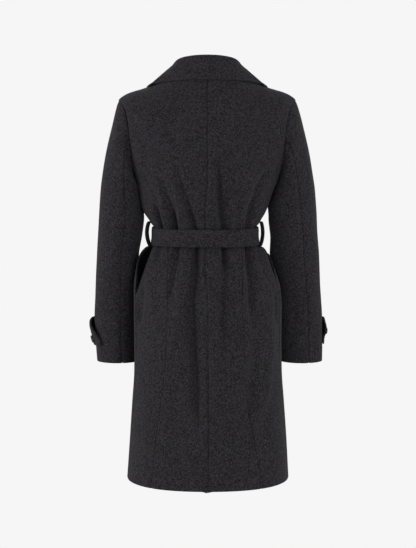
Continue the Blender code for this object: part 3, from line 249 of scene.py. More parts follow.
# %% Points on the form
# outer_x, outer_z, inner_x, inner_z, middle_y, half_depth, hollow, right_out, right_in
SLEEVE_RINGS = np.array((
    (204.0, -62, 165.0, -240, 0, 56.0, 7.0, 0, 0), (208.5, -76, 165.2, -243, 0, 58.5, 4.6, 1.0, 0),
    (213.5, -95, 163.4, -247, -0.5, 61.0, 2.6, 1.8, 0),
    (219.0, -118, 162.6, -252, -1, 62.5, 1.2, 2.2, 0),
    (226.0, -146, 158.0, -259, -3, 63.5, 0.4, 2.2, 0), (234.0, -180, 154.5, -269, -6, 63.5, 0, 2.2, -1),
    (241.5, -220, 151.5, -284, -10, 63.0, 0, 2, -3), (247.7, -264, 147.5, -304, -13, 62.0, 0, 3, -6.1),
    (251.8, -314, 147.2, -332, -16, 61.0, 0, 4, -4), (255.8, -366, 152.0, -372, -21, 59.5, 0, 3, -4.5),
    (260.0, -418, 160.5, -420, -31, 57.0, 0, 3.5, -13),
    (262.8, -458, 162.6, -458, -42, 54.6, 0, 3.5, -7),
    (264.8, -490, 163.4, -490, -50, 53.0, 0, 3.5, -2), (267.0, -526, 164.0, -526, -58, 51.5, 0, 4.5, 0),
    (269.8, -572, 165.0, -572, -67, 49.5, 0, 5.5, 3), (269.3, -613, 164.5, -613, -73, 47.5, 0, 7, 5),
    (267.5, -650, 164.0, -650, -77, 45.5, 0, 10, 8),
    (265.5, -681.5, 163.5, -681.5, -80, 44.0, 0, 12, 10.5),
))
LEVEL_BEND = 1.6  # how a ring's height runs from its middle to its side
UP = np.array([0.0, 0.0, 1.0])


def blend(a, b, f):
    return a + (b - a) * f


def ease(f):
    f = np.clip(f, 0.0, 1.0)
    return f * f * (3 - 2 * f)


def unit(vector):
    return vector / np.maximum(np.linalg.norm(vector, axis=-1, keepdims=True), 1e-9)


def sleeve_point(ring, turn, side):
    """Points of a sleeve's ring: turn 0 is its outer edge, positive to the back."""
    outer_x, outer_z, inner_x, inner_z, middle_y, half_depth, hollow, right_out, right_in = ring
    if side == RIGHT:
        outer_x, inner_x = outer_x + right_out, inner_x + right_in
    rise, across = np.cos(turn), np.sin(turn)
    x = (outer_x + inner_x) / 2 + (outer_x - inner_x) / 2 * rise
    x = x - hollow * np.abs(across) * (1 + rise) ** 1.5
    z = (outer_z + inner_z) / 2 + (outer_z - inner_z) / 2 * rise
    return np.stack([side * x, middle_y + half_depth * across, z], axis=-1)


def ring_at(height, face):
    """The sizes of the body's ring at this height and where it ends at the side."""
    side_z, front_z, half_width, back_depth, front_depth, n, shift = ring_sizes(height)
    end_turn, end_z = math.pi / 2, side_z
    if PIT_HEIGHT < height < TIP_HEIGHT:
        seam = math.pi * (TIP_HEIGHT - height) / (TIP_HEIGHT - PIT_HEIGHT)
        end = sleeve_point(SLEEVE_RINGS[0], seam if face == BACK else -seam, LEFT)
        depth = back_depth if face == BACK else front_depth
        half_width = end[0] / (1 - (abs(end[1]) / depth) ** n) ** (1 / n)
        end_turn = math.asin(min((end[0] / half_width) ** (n / 2), 1.0))
        end_z = end[2]
    elif height <= PIT_HEIGHT:
        end_turn = math.radians(float(side_seam_angle(height)))
    return half_width, (back_depth, front_depth), n, shift, front_z, end_turn, end_z


def form_point(height, turn, face):
    """Points of the smooth form at one height. turn is signed, from the centre back."""
    half_width, depths, n, shift, front_z, end_turn, end_z = ring_at(height, face)
    across, along = np.sin(turn), np.cos(turn)
    depth = np.where(along > 0, depths[0], depths[1])
    x = shift + half_width * np.copysign(np.abs(across) ** (2 / n), across)
    y = depth * np.copysign(np.abs(along) ** (2 / n), along)
    middle_z = np.where(along > 0, height, front_z)
    level = 1 - np.abs(along) ** LEVEL_BEND
    if PIT_HEIGHT < height < TIP_HEIGHT:
        level = level / (1 - abs(math.cos(end_turn)) ** LEVEL_BEND)
    return np.stack([x, y, blend(middle_z, end_z, level)], axis=-1)


def level_out(height, turn, face):
    """The level direction that points out of the body."""
    along = form_point(height, turn + 0.01, face) - form_point(height, turn - 0.01, face)
    return unit(np.stack([-along[..., 1], along[..., 0], 0 * along[..., 0]], axis=-1))


def way_out(height, turn, face):
    """The direction straight out of the cloth."""
    beside = form_point(height, turn + 0.02, face) - form_point(height, turn - 0.02, face)
    below = form_point(height - 2, turn, face) - form_point(height + 2, turn, face)
    return unit(np.cross(beside, below))


def turn_at(height, x, face, side):
    """The turn where this ring passes x, on the side given."""
    half_width, _, n, shift, _, _, _ = ring_at(height, face)
    reach = min(abs(x - shift) / half_width, 1.0)
    turn = math.asin(reach ** (n / 2)) * math.copysign(1, x - shift)
    return turn if face == BACK else side * math.pi - turn


print("hem at the centre back:", np.round(form_point(HEM, 0.0, BACK), 1))

# %% [markdown]
# ## Folds and creases
#
# The tied belt gathers the coat, so deep folds run into it from above and out of it below,
# and softer ones go on down the skirt. No two are alike: each has its own place, lean,
# width and depth. A fold presses the cloth in along its line, more and more towards the
# belt, and the cloth beside it stands out a little in return. Long shallow creases are
# added as lines with soft ends. A cloth simulation would choose its own folds, so these are
# placed one by one.

# %% Folds and creases
ABOVE, BELOW, MIDWAY = "above the belt", "below the belt", "midway"
FOLD_PAST, FOLD_FADE = 8, 12  # how far past the belt's middle a fold ends, and its fade there
MIDWAY_RISE = 2.2  # how fast a fold away from the belt deepens and fades
CREST_SHARE, CREST_OFF, CREST_WIDTH = 0.2, 1.9, 0.8  # the cloth that stands out beside a fold
CREST_FROM, CREST_FADE = 22, 16  # how far from the belt's middle that starts, and its fade
# Folds: top x, top z, bottom x, bottom z, half width, depth.
FOLDS = {
    BACK: {
        ABOVE: (
            (124, -258, 106, BELT_TOP, 8, 6.0), (82, -255, 73, BELT_TOP, 9, 9.0),
            (62, -250, 27, BELT_TOP, 11, 6.5), (-24, -212, -39, BELT_TOP, 10, 9.0),
            (-67, -300, -68, BELT_TOP, 8, 3.5), (-109, -268, -95, BELT_TOP, 9, 7.5),
        ),
        BELOW: (
            (111, BELT_BOTTOM, 117, -452, 9, 6.0), (69, BELT_BOTTOM, 77, -470, 10, 8.5),
            (25, BELT_BOTTOM, 34, -520, 10, 9.5), (-40, BELT_BOTTOM, -39, -478, 10, 8.5),
            (-96, BELT_BOTTOM, -105, -490, 10, 8.0),
        ),
        MIDWAY: (
            (34, -430, 14, -770, 26, 5.5), (-39, -440, -50, -660, 20, 3.5),
            (-104, -440, -114, -620, 18, 4.0), (-104, -690, -82, -860, 16, 3.5),
        ),
    },
    FRONT: {
        ABOVE: (
            (122, -278, 104, BELT_TOP, 9, 7.0), (92, -268, 78, BELT_TOP, 9, 7.5),
            (-36, -292, -34, BELT_TOP, 10, 5.5), (-82, -262, -69, BELT_TOP, 10, 8.0),
            (-120, -280, -103, BELT_TOP, 9, 7.0),
        ),
        BELOW: (
            (118, BELT_BOTTOM, 128, -460, 9, 7.0), (90, BELT_BOTTOM, 99, -480, 9, 7.0),
            (-34, BELT_BOTTOM, -37, -480, 10, 7.5), (-72, BELT_BOTTOM, -80, -500, 10, 8.5),
            (-112, BELT_BOTTOM, -122, -470, 9, 7.0),
        ),
        MIDWAY: (
            (-78, -450, -88, -760, 24, 4.5), (128, -450, 136, -700, 22, 4.0),
        ),
    },
}
SOFT_END = 0.3  # the share of a crease's length over which each end fades
# Creases: half width, depth and a line of x, z. A depth below 0 is a ridge.
CREASES = {
    BACK: (
        (5, 11.0, (122, -286), (117, -314), (110, -345), (108, -372)),
        (8, 4.0, (143, -128), (139, -255), (128, -300)),
        (7, 8.5, (104, -215), (97, -261), (79, -314), (76, -342), (74, -380)),
        (5, 5.0, (82, -300), (74, -380)),
        (7, 8.5, (72, -190), (58, -261), (38, -314), (29, -342), (24, -380)),
        (5, 5.0, (42, -300), (24, -385)),
        (6, 12.0, (-19, -180), (-26, -245), (-29, -314), (-33, -342), (-38, -385)),
        (9, 3.0, (-64, -190), (-36, -300)),
        (8, 11.0, (-146, -190), (-136, -220), (-114, -261), (-98, -314), (-94, -342), (-93, -380)),
        (5, 5.0, (-112, -325), (-111, -372)), (8, -4.0, (72, -230), (65, -300), (60, -345)),
        (9, -2.8, (-8, -100), (-11, -160), (-14, -226), (-3, -330)),
        (8, -3.5, (-78, -250), (-82, -345)), (8, -3.5, (100, -262), (95, -345)),
        (6, 4.0, (112, -375), (112, -430)), (7, 7.5, (70, -370), (70, -417), (78, -470), (86, -520)),
        (9, 15.0, (24, -340), (26, -437), (37, -509), (33, -599), (28, -689), (20, -850)),
        (5, 7.0, (26, -360), (28, -452)), (8, 9.0, (-36, -350), (-39, -440), (-33, -540), (-33, -640)),
        (5, 9.0, (-36, -360), (-38, -446)),
        (8, 13.0, (-94, -350), (-97, -440), (-102, -523), (-106, -600)),
        (5, 7.0, (-96, -360), (-99, -450)), (5, 8.0, (-122, -380), (-124, -440)),
        (2.6, 5.0, (-154, -492), (-158, -520), (-160, -580)),
        (11, 6.0, (-118, -500), (-117, -570), (-103, -650), (-101, -800)),
        (12, -5.0, (-10, -432), (-8, -523), (-14, -596), (-26, -760)),
        (12, -4.5, (58, -430), (62, -524), (84, -640)),
        (10, -5.0, (-142, -520), (-148, -600), (-138, -707), (-116, -815)),
        (9, 7.0, (-126, -385), (-135, -470)), (9, 10.0, (147, -470), (154, -520), (160, -585)),
        (10, 3.0, (104, -418), (112, -570)), (20, 2.6, (60, -690), (70, -960)),
        (20, 2.6, (-60, -748), (-64, -960)), (16, -2.4, (132, -700), (142, -960)),
        (13, 5.0, (-112, -620), (-98, -740), (-96, -900)), (12, 5.0, (-132, -740), (-124, -890)),
    ),
    FRONT: (
        (12, 1.7, (104, -168), (62, -302)), (12, 1.9, (-104, -176), (-60, -322)),
        (9, 2.0, (-132, -256), (-100, -346)), (10, 1.9, (62, -402), (68, -562)),
        (12, 2.1, (-50, -402), (-60, -622)), (16, -1.9, (-18, -418), (-26, -702)),
        (10, 2.0, (110, -414), (122, -642)), (14, -2.0, (-140, -516), (-150, -802)),
        (22, 2.0, (62, -690), (66, -935)), (20, 1.8, (-110, -750), (-116, -935)),
        (24, -1.7, (22, -636), (26, -935)), (9, -1.6, (138, -250), (120, -344)),
    ),
}


def crease_depth(x, z, creases):
    """How far a set of creases presses in at these places."""
    total = np.zeros_like(x)
    for half_width, depth, *line in creases:
        nearest, at, run = np.full_like(x, 1e9), np.zeros_like(x), 0.0
        for (ax, az), (bx, bz) in zip(line, line[1:]):
            length = math.hypot(bx - ax, bz - az)
            ux, uz = (bx - ax) / length, (bz - az) / length
            along = np.clip((x - ax) * ux + (z - az) * uz, 0, length)
            away = np.hypot(x - ax - ux * along, z - az - uz * along)
            at = np.where(away < nearest, run + along, at)
            nearest = np.minimum(nearest, away)
            run += length
        soft = SOFT_END * run
        ends = ease(at / soft) * ease((run - at) / soft)
        total += depth * ends * np.exp(-((nearest / half_width) ** 2))
    return total


def fold_depth(height, points, face):
    """How far the belt's folds press in along one row."""
    total = np.zeros(len(points))
    rows = ((deep, row) for deep, rows in FOLDS[face].items() for row in rows)
    for deep, (top_x, top_z, bottom_x, bottom_z, half_width, depth) in rows:
        f = (top_z - height) / (top_z - bottom_z)
        if deep == ABOVE:
            strength = ease(f) * ease((height - BELT_MIDDLE + FOLD_PAST) / FOLD_FADE)
        elif deep == BELOW:
            strength = ease(1 - f) * ease((BELT_MIDDLE + FOLD_PAST - height) / FOLD_FADE)
        else:
            strength = ease(MIDWAY_RISE * f) * ease(MIDWAY_RISE * (1 - f))
        if strength <= 0:
            continue
        x = blend(top_x, bottom_x, min(max(f, 0.0), 1.0))
        side = LEFT if x > 0 else RIGHT
        centre = form_point(height, turn_at(height, x, face, side), face)
        away = np.hypot(points[:, 0] - centre[0], points[:, 1] - centre[1])
        wide = half_width * (1.0 if deep == MIDWAY else 1.35 - 0.5 * strength)
        total += depth * strength * np.exp(-((away / wide) ** 2))
        if deep != MIDWAY:
            clear_of_belt = ease((abs(height - BELT_MIDDLE) - CREST_FROM) / CREST_FADE)
            crest = np.exp(-(((away - CREST_OFF * wide) / (CREST_WIDTH * wide)) ** 2))
            total -= CREST_SHARE * depth * strength * clear_of_belt * crest
    return total


for face in FOLDS:
    print(face, "folds:", sum(map(len, FOLDS[face].values())), "creases:", len(CREASES[face]))

# %% [markdown]
# ## Rows of cloth
#
# A panel is a grid: rows down the coat, columns across it. Columns are spread evenly by
# length, with one close in by each seam so that the edge can be rounded. The left front
# lies under the right one, so it is pressed in where the two overlap. Under the belt the
# cloth beside each hip is tucked forward behind the last fold, deeper on the left.

# %% Rows of cloth
WALL = 2.4  # one layer of wool
DOUBLE = 3.6  # two layers sewn together
SEAM_GAP = 0.3
LAYER_STEP = WALL + 1.6  # how far the under front lies below the over front
FOLD_STEP = 4.0  # how much more beside the belt's folds
CLOSE_IN = 3.0  # from a seam to the next column
SIDE_FADE = 10.0  # the folds die out this near a side seam
# how far from the centre each hip's tuck starts, its share of the depth there, where it ends
SIDE_TUCKS = {LEFT: (121.0, 1.5, -545.0), RIGHT: (127.0, 1.0, -520.0)}
TUCK_SPREAD = 0.37  # how much further out it starts for each millimetre down
TUCK_SIDEWAYS, TUCK_DOWN, TUCK_UNDER_BELT = 6, 70, 8  # the lengths over which it sets in
OVERLAP_FROM, OVERLAP_FADE = 6, 22  # where the under front steps in, past the over front's edge
FOLD_ZONE = 60  # how far above and below the belt the fronts lie further apart, and the fade
TRIALS = 65  # points that a stretch of ring is measured with


def running_length(points):
    """Length along a row of points, from its first one."""
    return np.concatenate([[0.0], np.cumsum(np.linalg.norm(np.diff(points, axis=0), axis=-1))])


def places(length, spans):
    """Distances that divide a row into this many spans, the outer two short."""
    close = min(CLOSE_IN, length / spans)
    return np.concatenate([[0.0], np.linspace(close, length - close, spans - 1), [length]])


def spread(height, face, start, end, spans):
    """Turns that divide a stretch of ring into spans."""
    trial = np.linspace(start, end, TRIALS)
    run = running_length(form_point(height, trial, face))
    return np.interp(places(run[-1], spans), run, trial)


def under_step(x, z):
    """How far in the under front lies below the over front."""
    past = x - over_edge(z)
    by_folds = 1 - ease((np.abs(z - BELT_MIDDLE) - FOLD_ZONE) / FOLD_ZONE)
    covered = 1 - ease((past - OVERLAP_FROM) / OVERLAP_FADE)
    return (LAYER_STEP + FOLD_STEP * by_folds) * covered


def tucked(points, side):
    """The points with the cloth beside the hip drawn forward under the belt."""
    start, deep, low = SIDE_TUCKS[side]
    x, y, z = points.T
    start = start + TUCK_SPREAD * np.maximum(BELT_BOTTOM - z, 0)
    reach = ease((side * x - start) / TUCK_SIDEWAYS) * ease((z - low) / TUCK_DOWN)
    reach = reach * ease((BELT_BOTTOM + TUCK_UNDER_BELT / 2 - z) / TUCK_UNDER_BELT)
    return np.stack([x, y * (1 - reach * deep), z], axis=-1)


def cloth_row(height, turns, face, under=False):
    """One row of a panel's outer skin. Its folds fade where it meets another panel at the side."""
    points = form_point(height, turns, face)
    side = math.copysign(1, turns[len(turns) // 2])
    end = form_point(height, side * side_end_turn(height, face), face)
    clear = ease(np.linalg.norm(points - end, axis=1) / SIDE_FADE)
    pressed = fold_depth(height, points, face)
    pressed += crease_depth(points[:, 0], points[:, 2], CREASES[face])
    pressed *= clear
    if under:
        pressed += under_step(points[:, 0], points[:, 2])
    row = points - level_out(height, turns, face) * pressed[:, None]
    return blend(points, tucked(row, side), clear[:, None]) if face == BACK else row


def front_end_turn(height, side):
    """The turn where this row meets the front's own free edge."""
    edge = over_edge if side == RIGHT else under_edge
    near, far = math.radians(92), math.radians(268)
    for _ in range(HALVINGS):
        middle = (near + far) / 2
        point = form_point(height, side * middle, FRONT)
        if side * point[0] > -edge(point[2]):
            near = middle
        else:
            far = middle
    return side * near


HALVINGS = 24
NECK = 6.0
SIDE_BACK_TIP, SIDE_BACK_TOP, SIDE_BACK_FULL = -176.0, -182.0, -188.8
HEIGHTS = np.concatenate([
    np.linspace(NECK, TIP_HEIGHT, 33)[:-1],
    np.linspace(TIP_HEIGHT, PIT_HEIGHT, 41)[:-1],
    np.linspace(PIT_HEIGHT, -322, 25)[:-1],
    np.linspace(-322, -428, 49)[:-1],
    np.linspace(-428, HEM + CLOSE_IN, 142),
    [HEM],
])
TIP_ROW, PIT_ROW = 32, 72
SHOULDER_ROUNDS = 40  # how often the bend below the shoulder's end is averaged
SIDE_BACK_ROW = int(np.argmax(HEIGHTS < SIDE_BACK_TOP))
BACK_SPANS, SIDE_BACK_SPANS, FRONT_SPANS = 58, 30, 88


def side_end_turn(height, face):
    end = ring_at(height, face)[5]
    return math.pi - end if face == FRONT and PIT_HEIGHT < height < TIP_HEIGHT else end


def seam_turn(height, side):
    """The turn of the side-back seam, or of the armhole above where it starts."""
    end = side_end_turn(height, BACK)
    if height >= SIDE_BACK_TOP:
        return side * end
    seam = abs(turn_at(height, side * float(side_back_x[side](height)), BACK, side))
    opened = min((SIDE_BACK_TIP - height) / (SIDE_BACK_TIP - SIDE_BACK_FULL), 1.0)
    return side * blend(end, seam, opened)


def panel(face, edges, spans, heights=HEIGHTS, under=False):
    """The rows of a panel. edges gives the turns of its two edges at a height."""
    return np.array([cloth_row(h, spread(h, face, *edges(h), spans), face, under) for h in heights])


def eased_shoulder(grid, fixed):
    """The grid with the bend below the shoulder's end made round. fixed is the seam's column."""
    soft = grid.copy()
    for _ in range(SHOULDER_ROUNDS):
        soft[1:-1] = (soft[:-2] + 2 * soft[1:-1] + soft[2:]) / 4
    off = np.linalg.norm(grid - grid[:, fixed][:, None], axis=-1)
    rows = np.arange(len(grid))[:, None]
    share = np.exp(-(((rows - TIP_ROW) / 9) ** 2)) * ease((off - 3) / 22)
    return blend(grid, soft, share[..., None])


backs, side_backs, fronts = {}, {}, {}
for side in SIDES:
    back = panel(BACK, lambda h: (0.0, seam_turn(h, side)), BACK_SPANS)
    backs[side] = eased_shoulder(back, -1)
    side_backs[side] = panel(
        BACK, lambda h: (seam_turn(h, side), side * side_end_turn(h, BACK)), SIDE_BACK_SPANS,
        HEIGHTS[SIDE_BACK_ROW:],
    )
    front = panel(
        FRONT, lambda h: (side * side_end_turn(h, FRONT), front_end_turn(h, side)), FRONT_SPANS,
        under=side == LEFT,
    )
    fronts[side] = eased_shoulder(front, 0)
print("rows:", len(HEIGHTS), "side back starts at row", SIDE_BACK_ROW)

# %% [markdown]
# ## Rows of the sleeves
#
# A sleeve is a tube of rings, cut along two lines: the hind-arm seam that shows from behind
# and the forearm seam hidden in front. The arms hang slightly forward. Its creases are
# placed by the angle round the arm and the height: short drags from the armhole, a few
# bends at the elbow, long soft ones below.

# %% Rows of the sleeves
HIND_TURN = math.radians(90.0)
FORE_TURN = math.radians(-126.0)
SEAM_MOVES = {LEFT: math.radians(14.0), RIGHT: math.radians(-19.0)}
SLEEVE_CLEAR, TOUCH_END = 2.4, -312.0
PER_DEGREE = 53.0 * math.pi / 180  # millimetres round the arm for each degree
UPPER_SPANS, UNDER_SPANS = 56, 40
LAST_RING, ELBOW_RING = len(SLEEVE_RINGS) - 1, 9.35
SLEEVE_ROWS, SLEEVE_TRIALS = 148, 120
# half width, depth and a line of the angle in degrees, z
SLEEVE_CREASES = {
    LEFT: (
        (7, 2.8, (58, -108), (96, -178)), (7, 2.4, (96, -178), (132, -226)),
        (10, -1.6, (36, -112), (62, -176)), (10, 1.6, (70, -190), (46, -262)),
        (8, 2.4, (172, -372), (122, -410)), (8, 2.0, (176, -398), (128, -446)),
        (11, 1.3, (104, -330), (76, -380)), (14, -1.6, (62, -420), (54, -560)),
        (12, 1.6, (112, -470), (120, -600)), (15, 1.3, (24, -300), (16, -470)),
        (8, 2.2, (-160, -378), (-104, -404)), (8, 2.0, (-164, -410), (-110, -446)),
        (12, 1.5, (-60, -200), (-84, -300)), (14, -1.5, (-50, -440), (-60, -590)),
    ),
    RIGHT: (
        (7, 1.8, (64, -118), (100, -184)), (10, 1.3, (84, -196), (62, -258)),
        (12, -1.4, (40, -150), (34, -260)), (8, 2.2, (170, -380), (118, -424)),
        (8, 1.9, (174, -412), (126, -458)), (11, 1.4, (98, -352), (72, -400)),
        (14, -1.5, (58, -440), (50, -590)), (12, 1.7, (100, -480), (112, -620)),
        (15, 1.2, (14, -260), (20, -420)), (8, 2.2, (-160, -384), (-104, -412)),
        (8, 2.0, (-164, -416), (-110, -452)), (12, 1.5, (-58, -210), (-80, -310)),
        (14, -1.5, (-54, -430), (-62, -600)),
    ),
}
sleeve_sizes = Track(np.arange(len(SLEEVE_RINGS)), SLEEVE_RINGS)


def kept_clear(points, side):
    """The points, moved sideways where they would touch the body below the armpit."""
    x, y, z = points.T
    clear = SLEEVE_CLEAR * ease((PIT_HEIGHT - z) / 10) * (0.06 + 0.94 * ease((TOUCH_END - z) / 14))
    _, _, half_width, back_depth, front_depth, n, shift = ring_sizes(z).T
    depth = np.where(y > 0, back_depth, front_depth) + clear
    reach = np.maximum(1 - (np.abs(y) / depth) ** n, 0)
    edge = (half_width + clear) * reach ** (1 / n) + side * shift
    held = (clear > 0) & (reach > 0)
    return np.stack([side * np.where(held, np.maximum(side * x, edge), side * x), y, z], axis=-1)


def sleeve_panel(side, start, end, spans):
    """One half of a sleeve, columns from one seam to the other."""
    rings = np.linspace(0, LAST_RING, SLEEVE_TRIALS)
    run = running_length(np.array([sleeve_point(sleeve_sizes(u), 0.0, side) for u in rings]))
    downs = np.concatenate([np.linspace(0, run[-1] - CLOSE_IN, SLEEVE_ROWS), [run[-1]]])
    downs = np.insert(downs, 1, CLOSE_IN * 0.7)
    rows = []
    for u in np.interp(downs, run, rings):
        moved = SEAM_MOVES[side] * ease(u / ELBOW_RING)
        trial = np.linspace(start, end, TRIALS)
        bent = trial + moved * (0.5 + 0.5 * np.cos(trial - HIND_TURN))
        line = sleeve_point(sleeve_sizes(u), bent, side)
        length = running_length(line)
        turns = np.interp(places(length[-1], spans), length, bent)
        points = kept_clear(sleeve_point(sleeve_sizes(u), turns, side), side)
        degrees = np.degrees((turns + math.pi) % (2 * math.pi) - math.pi)
        pressed = crease_depth(degrees * PER_DEGREE, points[:, 2], [
            (wide, deep, *((turn * PER_DEGREE, z) for turn, z in line))
            for wide, deep, *line in SLEEVE_CREASES[side]
        ]) * ease(u / 1.2)
        along = unit(np.gradient(points, axis=0))
        out = unit(np.stack([along[:, 1], -along[:, 0], 0 * along[:, 0]], axis=-1)) * side
        rows.append(points - out * pressed[:, None])
    return np.array(rows)


uppers = {side: sleeve_panel(side, FORE_TURN, HIND_TURN, UPPER_SPANS) for side in SIDES}
far_end = FORE_TURN + 2 * math.pi
unders = {side: sleeve_panel(side, HIND_TURN, far_end, UNDER_SPANS) for side in SIDES}
print("sleeve rows:", len(uppers[LEFT]))

# %% [markdown]
# ## From a sheet to cloth
#
# A sheet becomes cloth when it has two skins and a rounded edge between them. Where two
# pieces are sewn together both edges are rounded, and the two curves meet in the thin
# groove that a pressed seam shows. The inner skin lies straight below the outer one, and
# two pieces share that direction at their seam, so their walls meet and never cross.

# %% From a sheet to cloth
EDGE_ANGLES = [math.radians(angle) for angle in (45, 90, 135)]  # the rounded edge's points
ALL = slice(None)


def across_grid(grid):
    """The direction across each point of a grid."""
    return unit(np.cross(np.gradient(grid, axis=0), np.gradient(grid, axis=1)))


def cloth_map(outer, closed):
    """Each point's place on the flat cloth, across and down, in millimetres."""
    u, v = np.zeros(outer.shape[:2]), np.zeros(outer.shape[:2])
    u[:, 1:] = np.cumsum(np.linalg.norm(np.diff(outer, axis=1), axis=-1), axis=1)
    v[1:] = np.cumsum(np.linalg.norm(np.diff(outer, axis=0), axis=-1), axis=0)
    if not closed:
        u -= u[:, outer.shape[1] // 2][:, None]
    return np.stack([u, v], axis=-1).reshape(-1, 2)


def free_edges(rows, columns, closed):
    """The places in a grid along each of its free edges, in order."""
    top, bottom = ([(row, j) for j in range(columns)] for row in (0, rows - 1))
    if closed:
        return [top, bottom]
    right = [(i, columns - 1) for i in range(1, rows)]
    left = [(i, 0) for i in range(rows - 2, 0, -1)]
    return [top + right + bottom[-2::-1] + left]


def cloth_shell(name, outer, ways, wall, closed=False):
    """A closed shell of cloth. outer is its grid in millimetres, ways point inwards."""
    outer = outer.copy()
    rows, columns = outer.shape[:2]
    ends = [(0, 1), (-1, -2)]
    borders = ends if closed else ends + [((ALL, end), (ALL, near)) for end, near in ends]
    edge_out, shift = np.zeros_like(outer), np.zeros_like(outer)
    bulge = np.full((rows, columns), wall / 2)
    for border, near in borders:
        off = outer[border] - outer[near]
        room = np.linalg.norm(off, axis=-1)
        bulge[border] = np.minimum(bulge[border], 0.4 * room)
        off = unit(off)
        edge_out[border] += off
        shift[border] -= off * bulge[border][:, None]
    outer += shift
    inner = outer + ways * wall
    edge_out = unit(edge_out)

    flat = cloth_map(outer, closed)
    count = rows * columns
    index = np.arange(count).reshape(rows, columns)
    if closed:
        index = np.concatenate([index, index[:, :1]], axis=1)
    corners = [index[:-1, :-1], index[1:, :-1], index[1:, 1:], index[:-1, 1:]]
    quads = np.stack(corners, axis=-1).reshape(-1, 4)
    verts, coords = [outer.reshape(-1, 3), inner.reshape(-1, 3)], [flat, flat]
    faces = [quads, quads[:, ::-1] + count]
    total = 2 * count
    for number, cycle in enumerate(free_edges(rows, columns, closed)):
        at = tuple(np.array(cycle).T)
        ids = index[at]
        middle, reach = (outer[at] + inner[at]) / 2, (outer[at] - inner[at]) / 2
        loops = [ids]
        for angle in EDGE_ANGLES:
            out = edge_out[at] * (bulge[at] * math.sin(angle))[:, None]
            verts.append(middle + reach * math.cos(angle) + out)
            coords.append(flat[ids])
            loops.append(np.arange(len(ids)) + total)
            total += len(ids)
        loops.append(ids + count)
        turn_back = closed and number == 1
        for a, b in zip(loops, loops[1:]):
            strip = np.stack([a, np.roll(a, -1), np.roll(b, -1), b], axis=-1)
            faces.append(strip[:, ::-1] if turn_back else strip)

    verts, coords = np.concatenate(verts) * MM, np.concatenate(coords) * MM
    faces = np.concatenate(faces)
    a, b, c, d = (verts[faces[:, k]] for k in range(4))
    if sum(np.einsum("ij,ij->i", a, np.cross(*pair)).sum() for pair in ((b, c), (c, d))) < 0:
        faces = faces[:, ::-1]
    last_step = np.linalg.norm(outer[0, 0] - outer[0, -1])
    ring = float(flat[:, 0].max() + last_step) * MM if closed else 0.0
    return mesh_piece(name, verts, faces.tolist(), coords, ring)


def mesh_piece(name, verts, faces, coords=None, ring=0.0):
    """An object from points and faces, with a UV map of cloth. ring is the way round a closed one."""
    mesh = bpy.data.meshes.new(name)
    mesh.from_pydata(verts.tolist(), [], faces)
    if coords is not None:
        layer = mesh.uv_layers.new(name="cloth")
        loops = np.empty(len(mesh.loops), int)
        mesh.loops.foreach_get("vertex_index", loops)
        cells = coords[loops].reshape(len(faces), -1, 2)
        if ring:
            behind = np.ptp(cells[:, :, 0], axis=1) > ring / 2
            cells[behind, :, 0] += ring * (cells[behind, :, 0] < ring / 2)
        layer.data.foreach_set("uv", cells.astype(np.float32).ravel())
    mesh.shade_smooth()
    obj = bpy.data.objects.new(name, mesh)
    bpy.context.scene.collection.objects.link(obj)
    return obj


print("edge rings:", len(EDGE_ANGLES))

# %% [markdown]
# ## Walls that meet at the seams
#
# Each panel has its own directions. At a seam the two panels' directions are averaged, and
# at the armhole the body's and the sleeve's are, stretched a little so that the wall keeps
# its thickness round the bend.

# %% Walls that meet at the seams


def share(a, at_a, b, at_b):
    """Give the edges of two panels the same ways in."""
    both = unit(ways[a][at_a] + ways[b][at_b])
    ways[a][at_a] = ways[b][at_b] = both


ways = {}
PANELS = (
    ("back", backs, 1), ("side_back", side_backs, 1), ("front", fronts, 1), ("upper", uppers, -1),
    ("under", unders, -1),
)
for side in SIDES:
    for key, grids, turned in PANELS:
        ways[key, side] = across_grid(grids[side]) * side * turned
share(("back", LEFT), (ALL, 0), ("back", RIGHT), (ALL, 0))
for side in SIDES:
    back, side_back, front = ("back", side), ("side_back", side), ("front", side)
    shoulder, skirt = slice(TIP_ROW + 1), slice(PIT_ROW, None)
    share(back, (slice(SIDE_BACK_ROW, None), -1), side_back, (ALL, 0))
    share(side_back, (slice(PIT_ROW - SIDE_BACK_ROW, None), -1), front, (skirt, 0))
    share(back, (shoulder, -1), front, (shoulder, 0))
    for a, b in ((0, -1), (-1, 0)):
        share(("upper", side), (ALL, a), ("under", side), (ALL, b))


def armhole_ways(side):
    """Directions at the armhole for the body's rows and for the sleeve's first row."""
    sleeve = np.concatenate([uppers[side][0], unders[side][0][1:-1]])
    sleeve_ways = np.concatenate([ways["upper", side][0], ways["under", side][0][1:-1]])
    spots = []
    for row in range(TIP_ROW, PIT_ROW + 1):
        low = row - SIDE_BACK_ROW
        spots.append(("back", backs, row, -1) if low < 0 else ("side_back", side_backs, low, -1))
        spots.append(("front", fronts, row, 0))
    body = np.array([grids[side][row, column] for _, grids, row, column in spots])
    body_ways = np.array([ways[key, side][row, column] for key, _, row, column in spots])

    def nearest(points, others, values):
        return values[np.argmin(np.linalg.norm(points[:, None] - others[None], axis=-1), axis=1)]

    def mitred(own, other, places):
        low = ease((-205 - places[:, 2:]) / 25)
        both = unit(own + other + low * UP)
        return both / np.maximum((both * own).sum(axis=-1, keepdims=True), 0.6)

    new_body = mitred(body_ways, nearest(body, sleeve, sleeve_ways), body)
    new_sleeve = mitred(sleeve_ways, nearest(sleeve, body, body_ways), sleeve)
    for (key, _, row, column), way in zip(spots, new_body):
        ways[key, side][row, column] = way
    count = UPPER_SPANS + 1
    ways["upper", side][0] = new_sleeve[:count]
    ways["under", side][0, 1:-1] = new_sleeve[count:]
    ways["under", side][0, 0] = new_sleeve[count - 1]
    ways["under", side][0, -1] = new_sleeve[0]


for side in SIDES:
    armhole_ways(side)
print("seam directions shared")

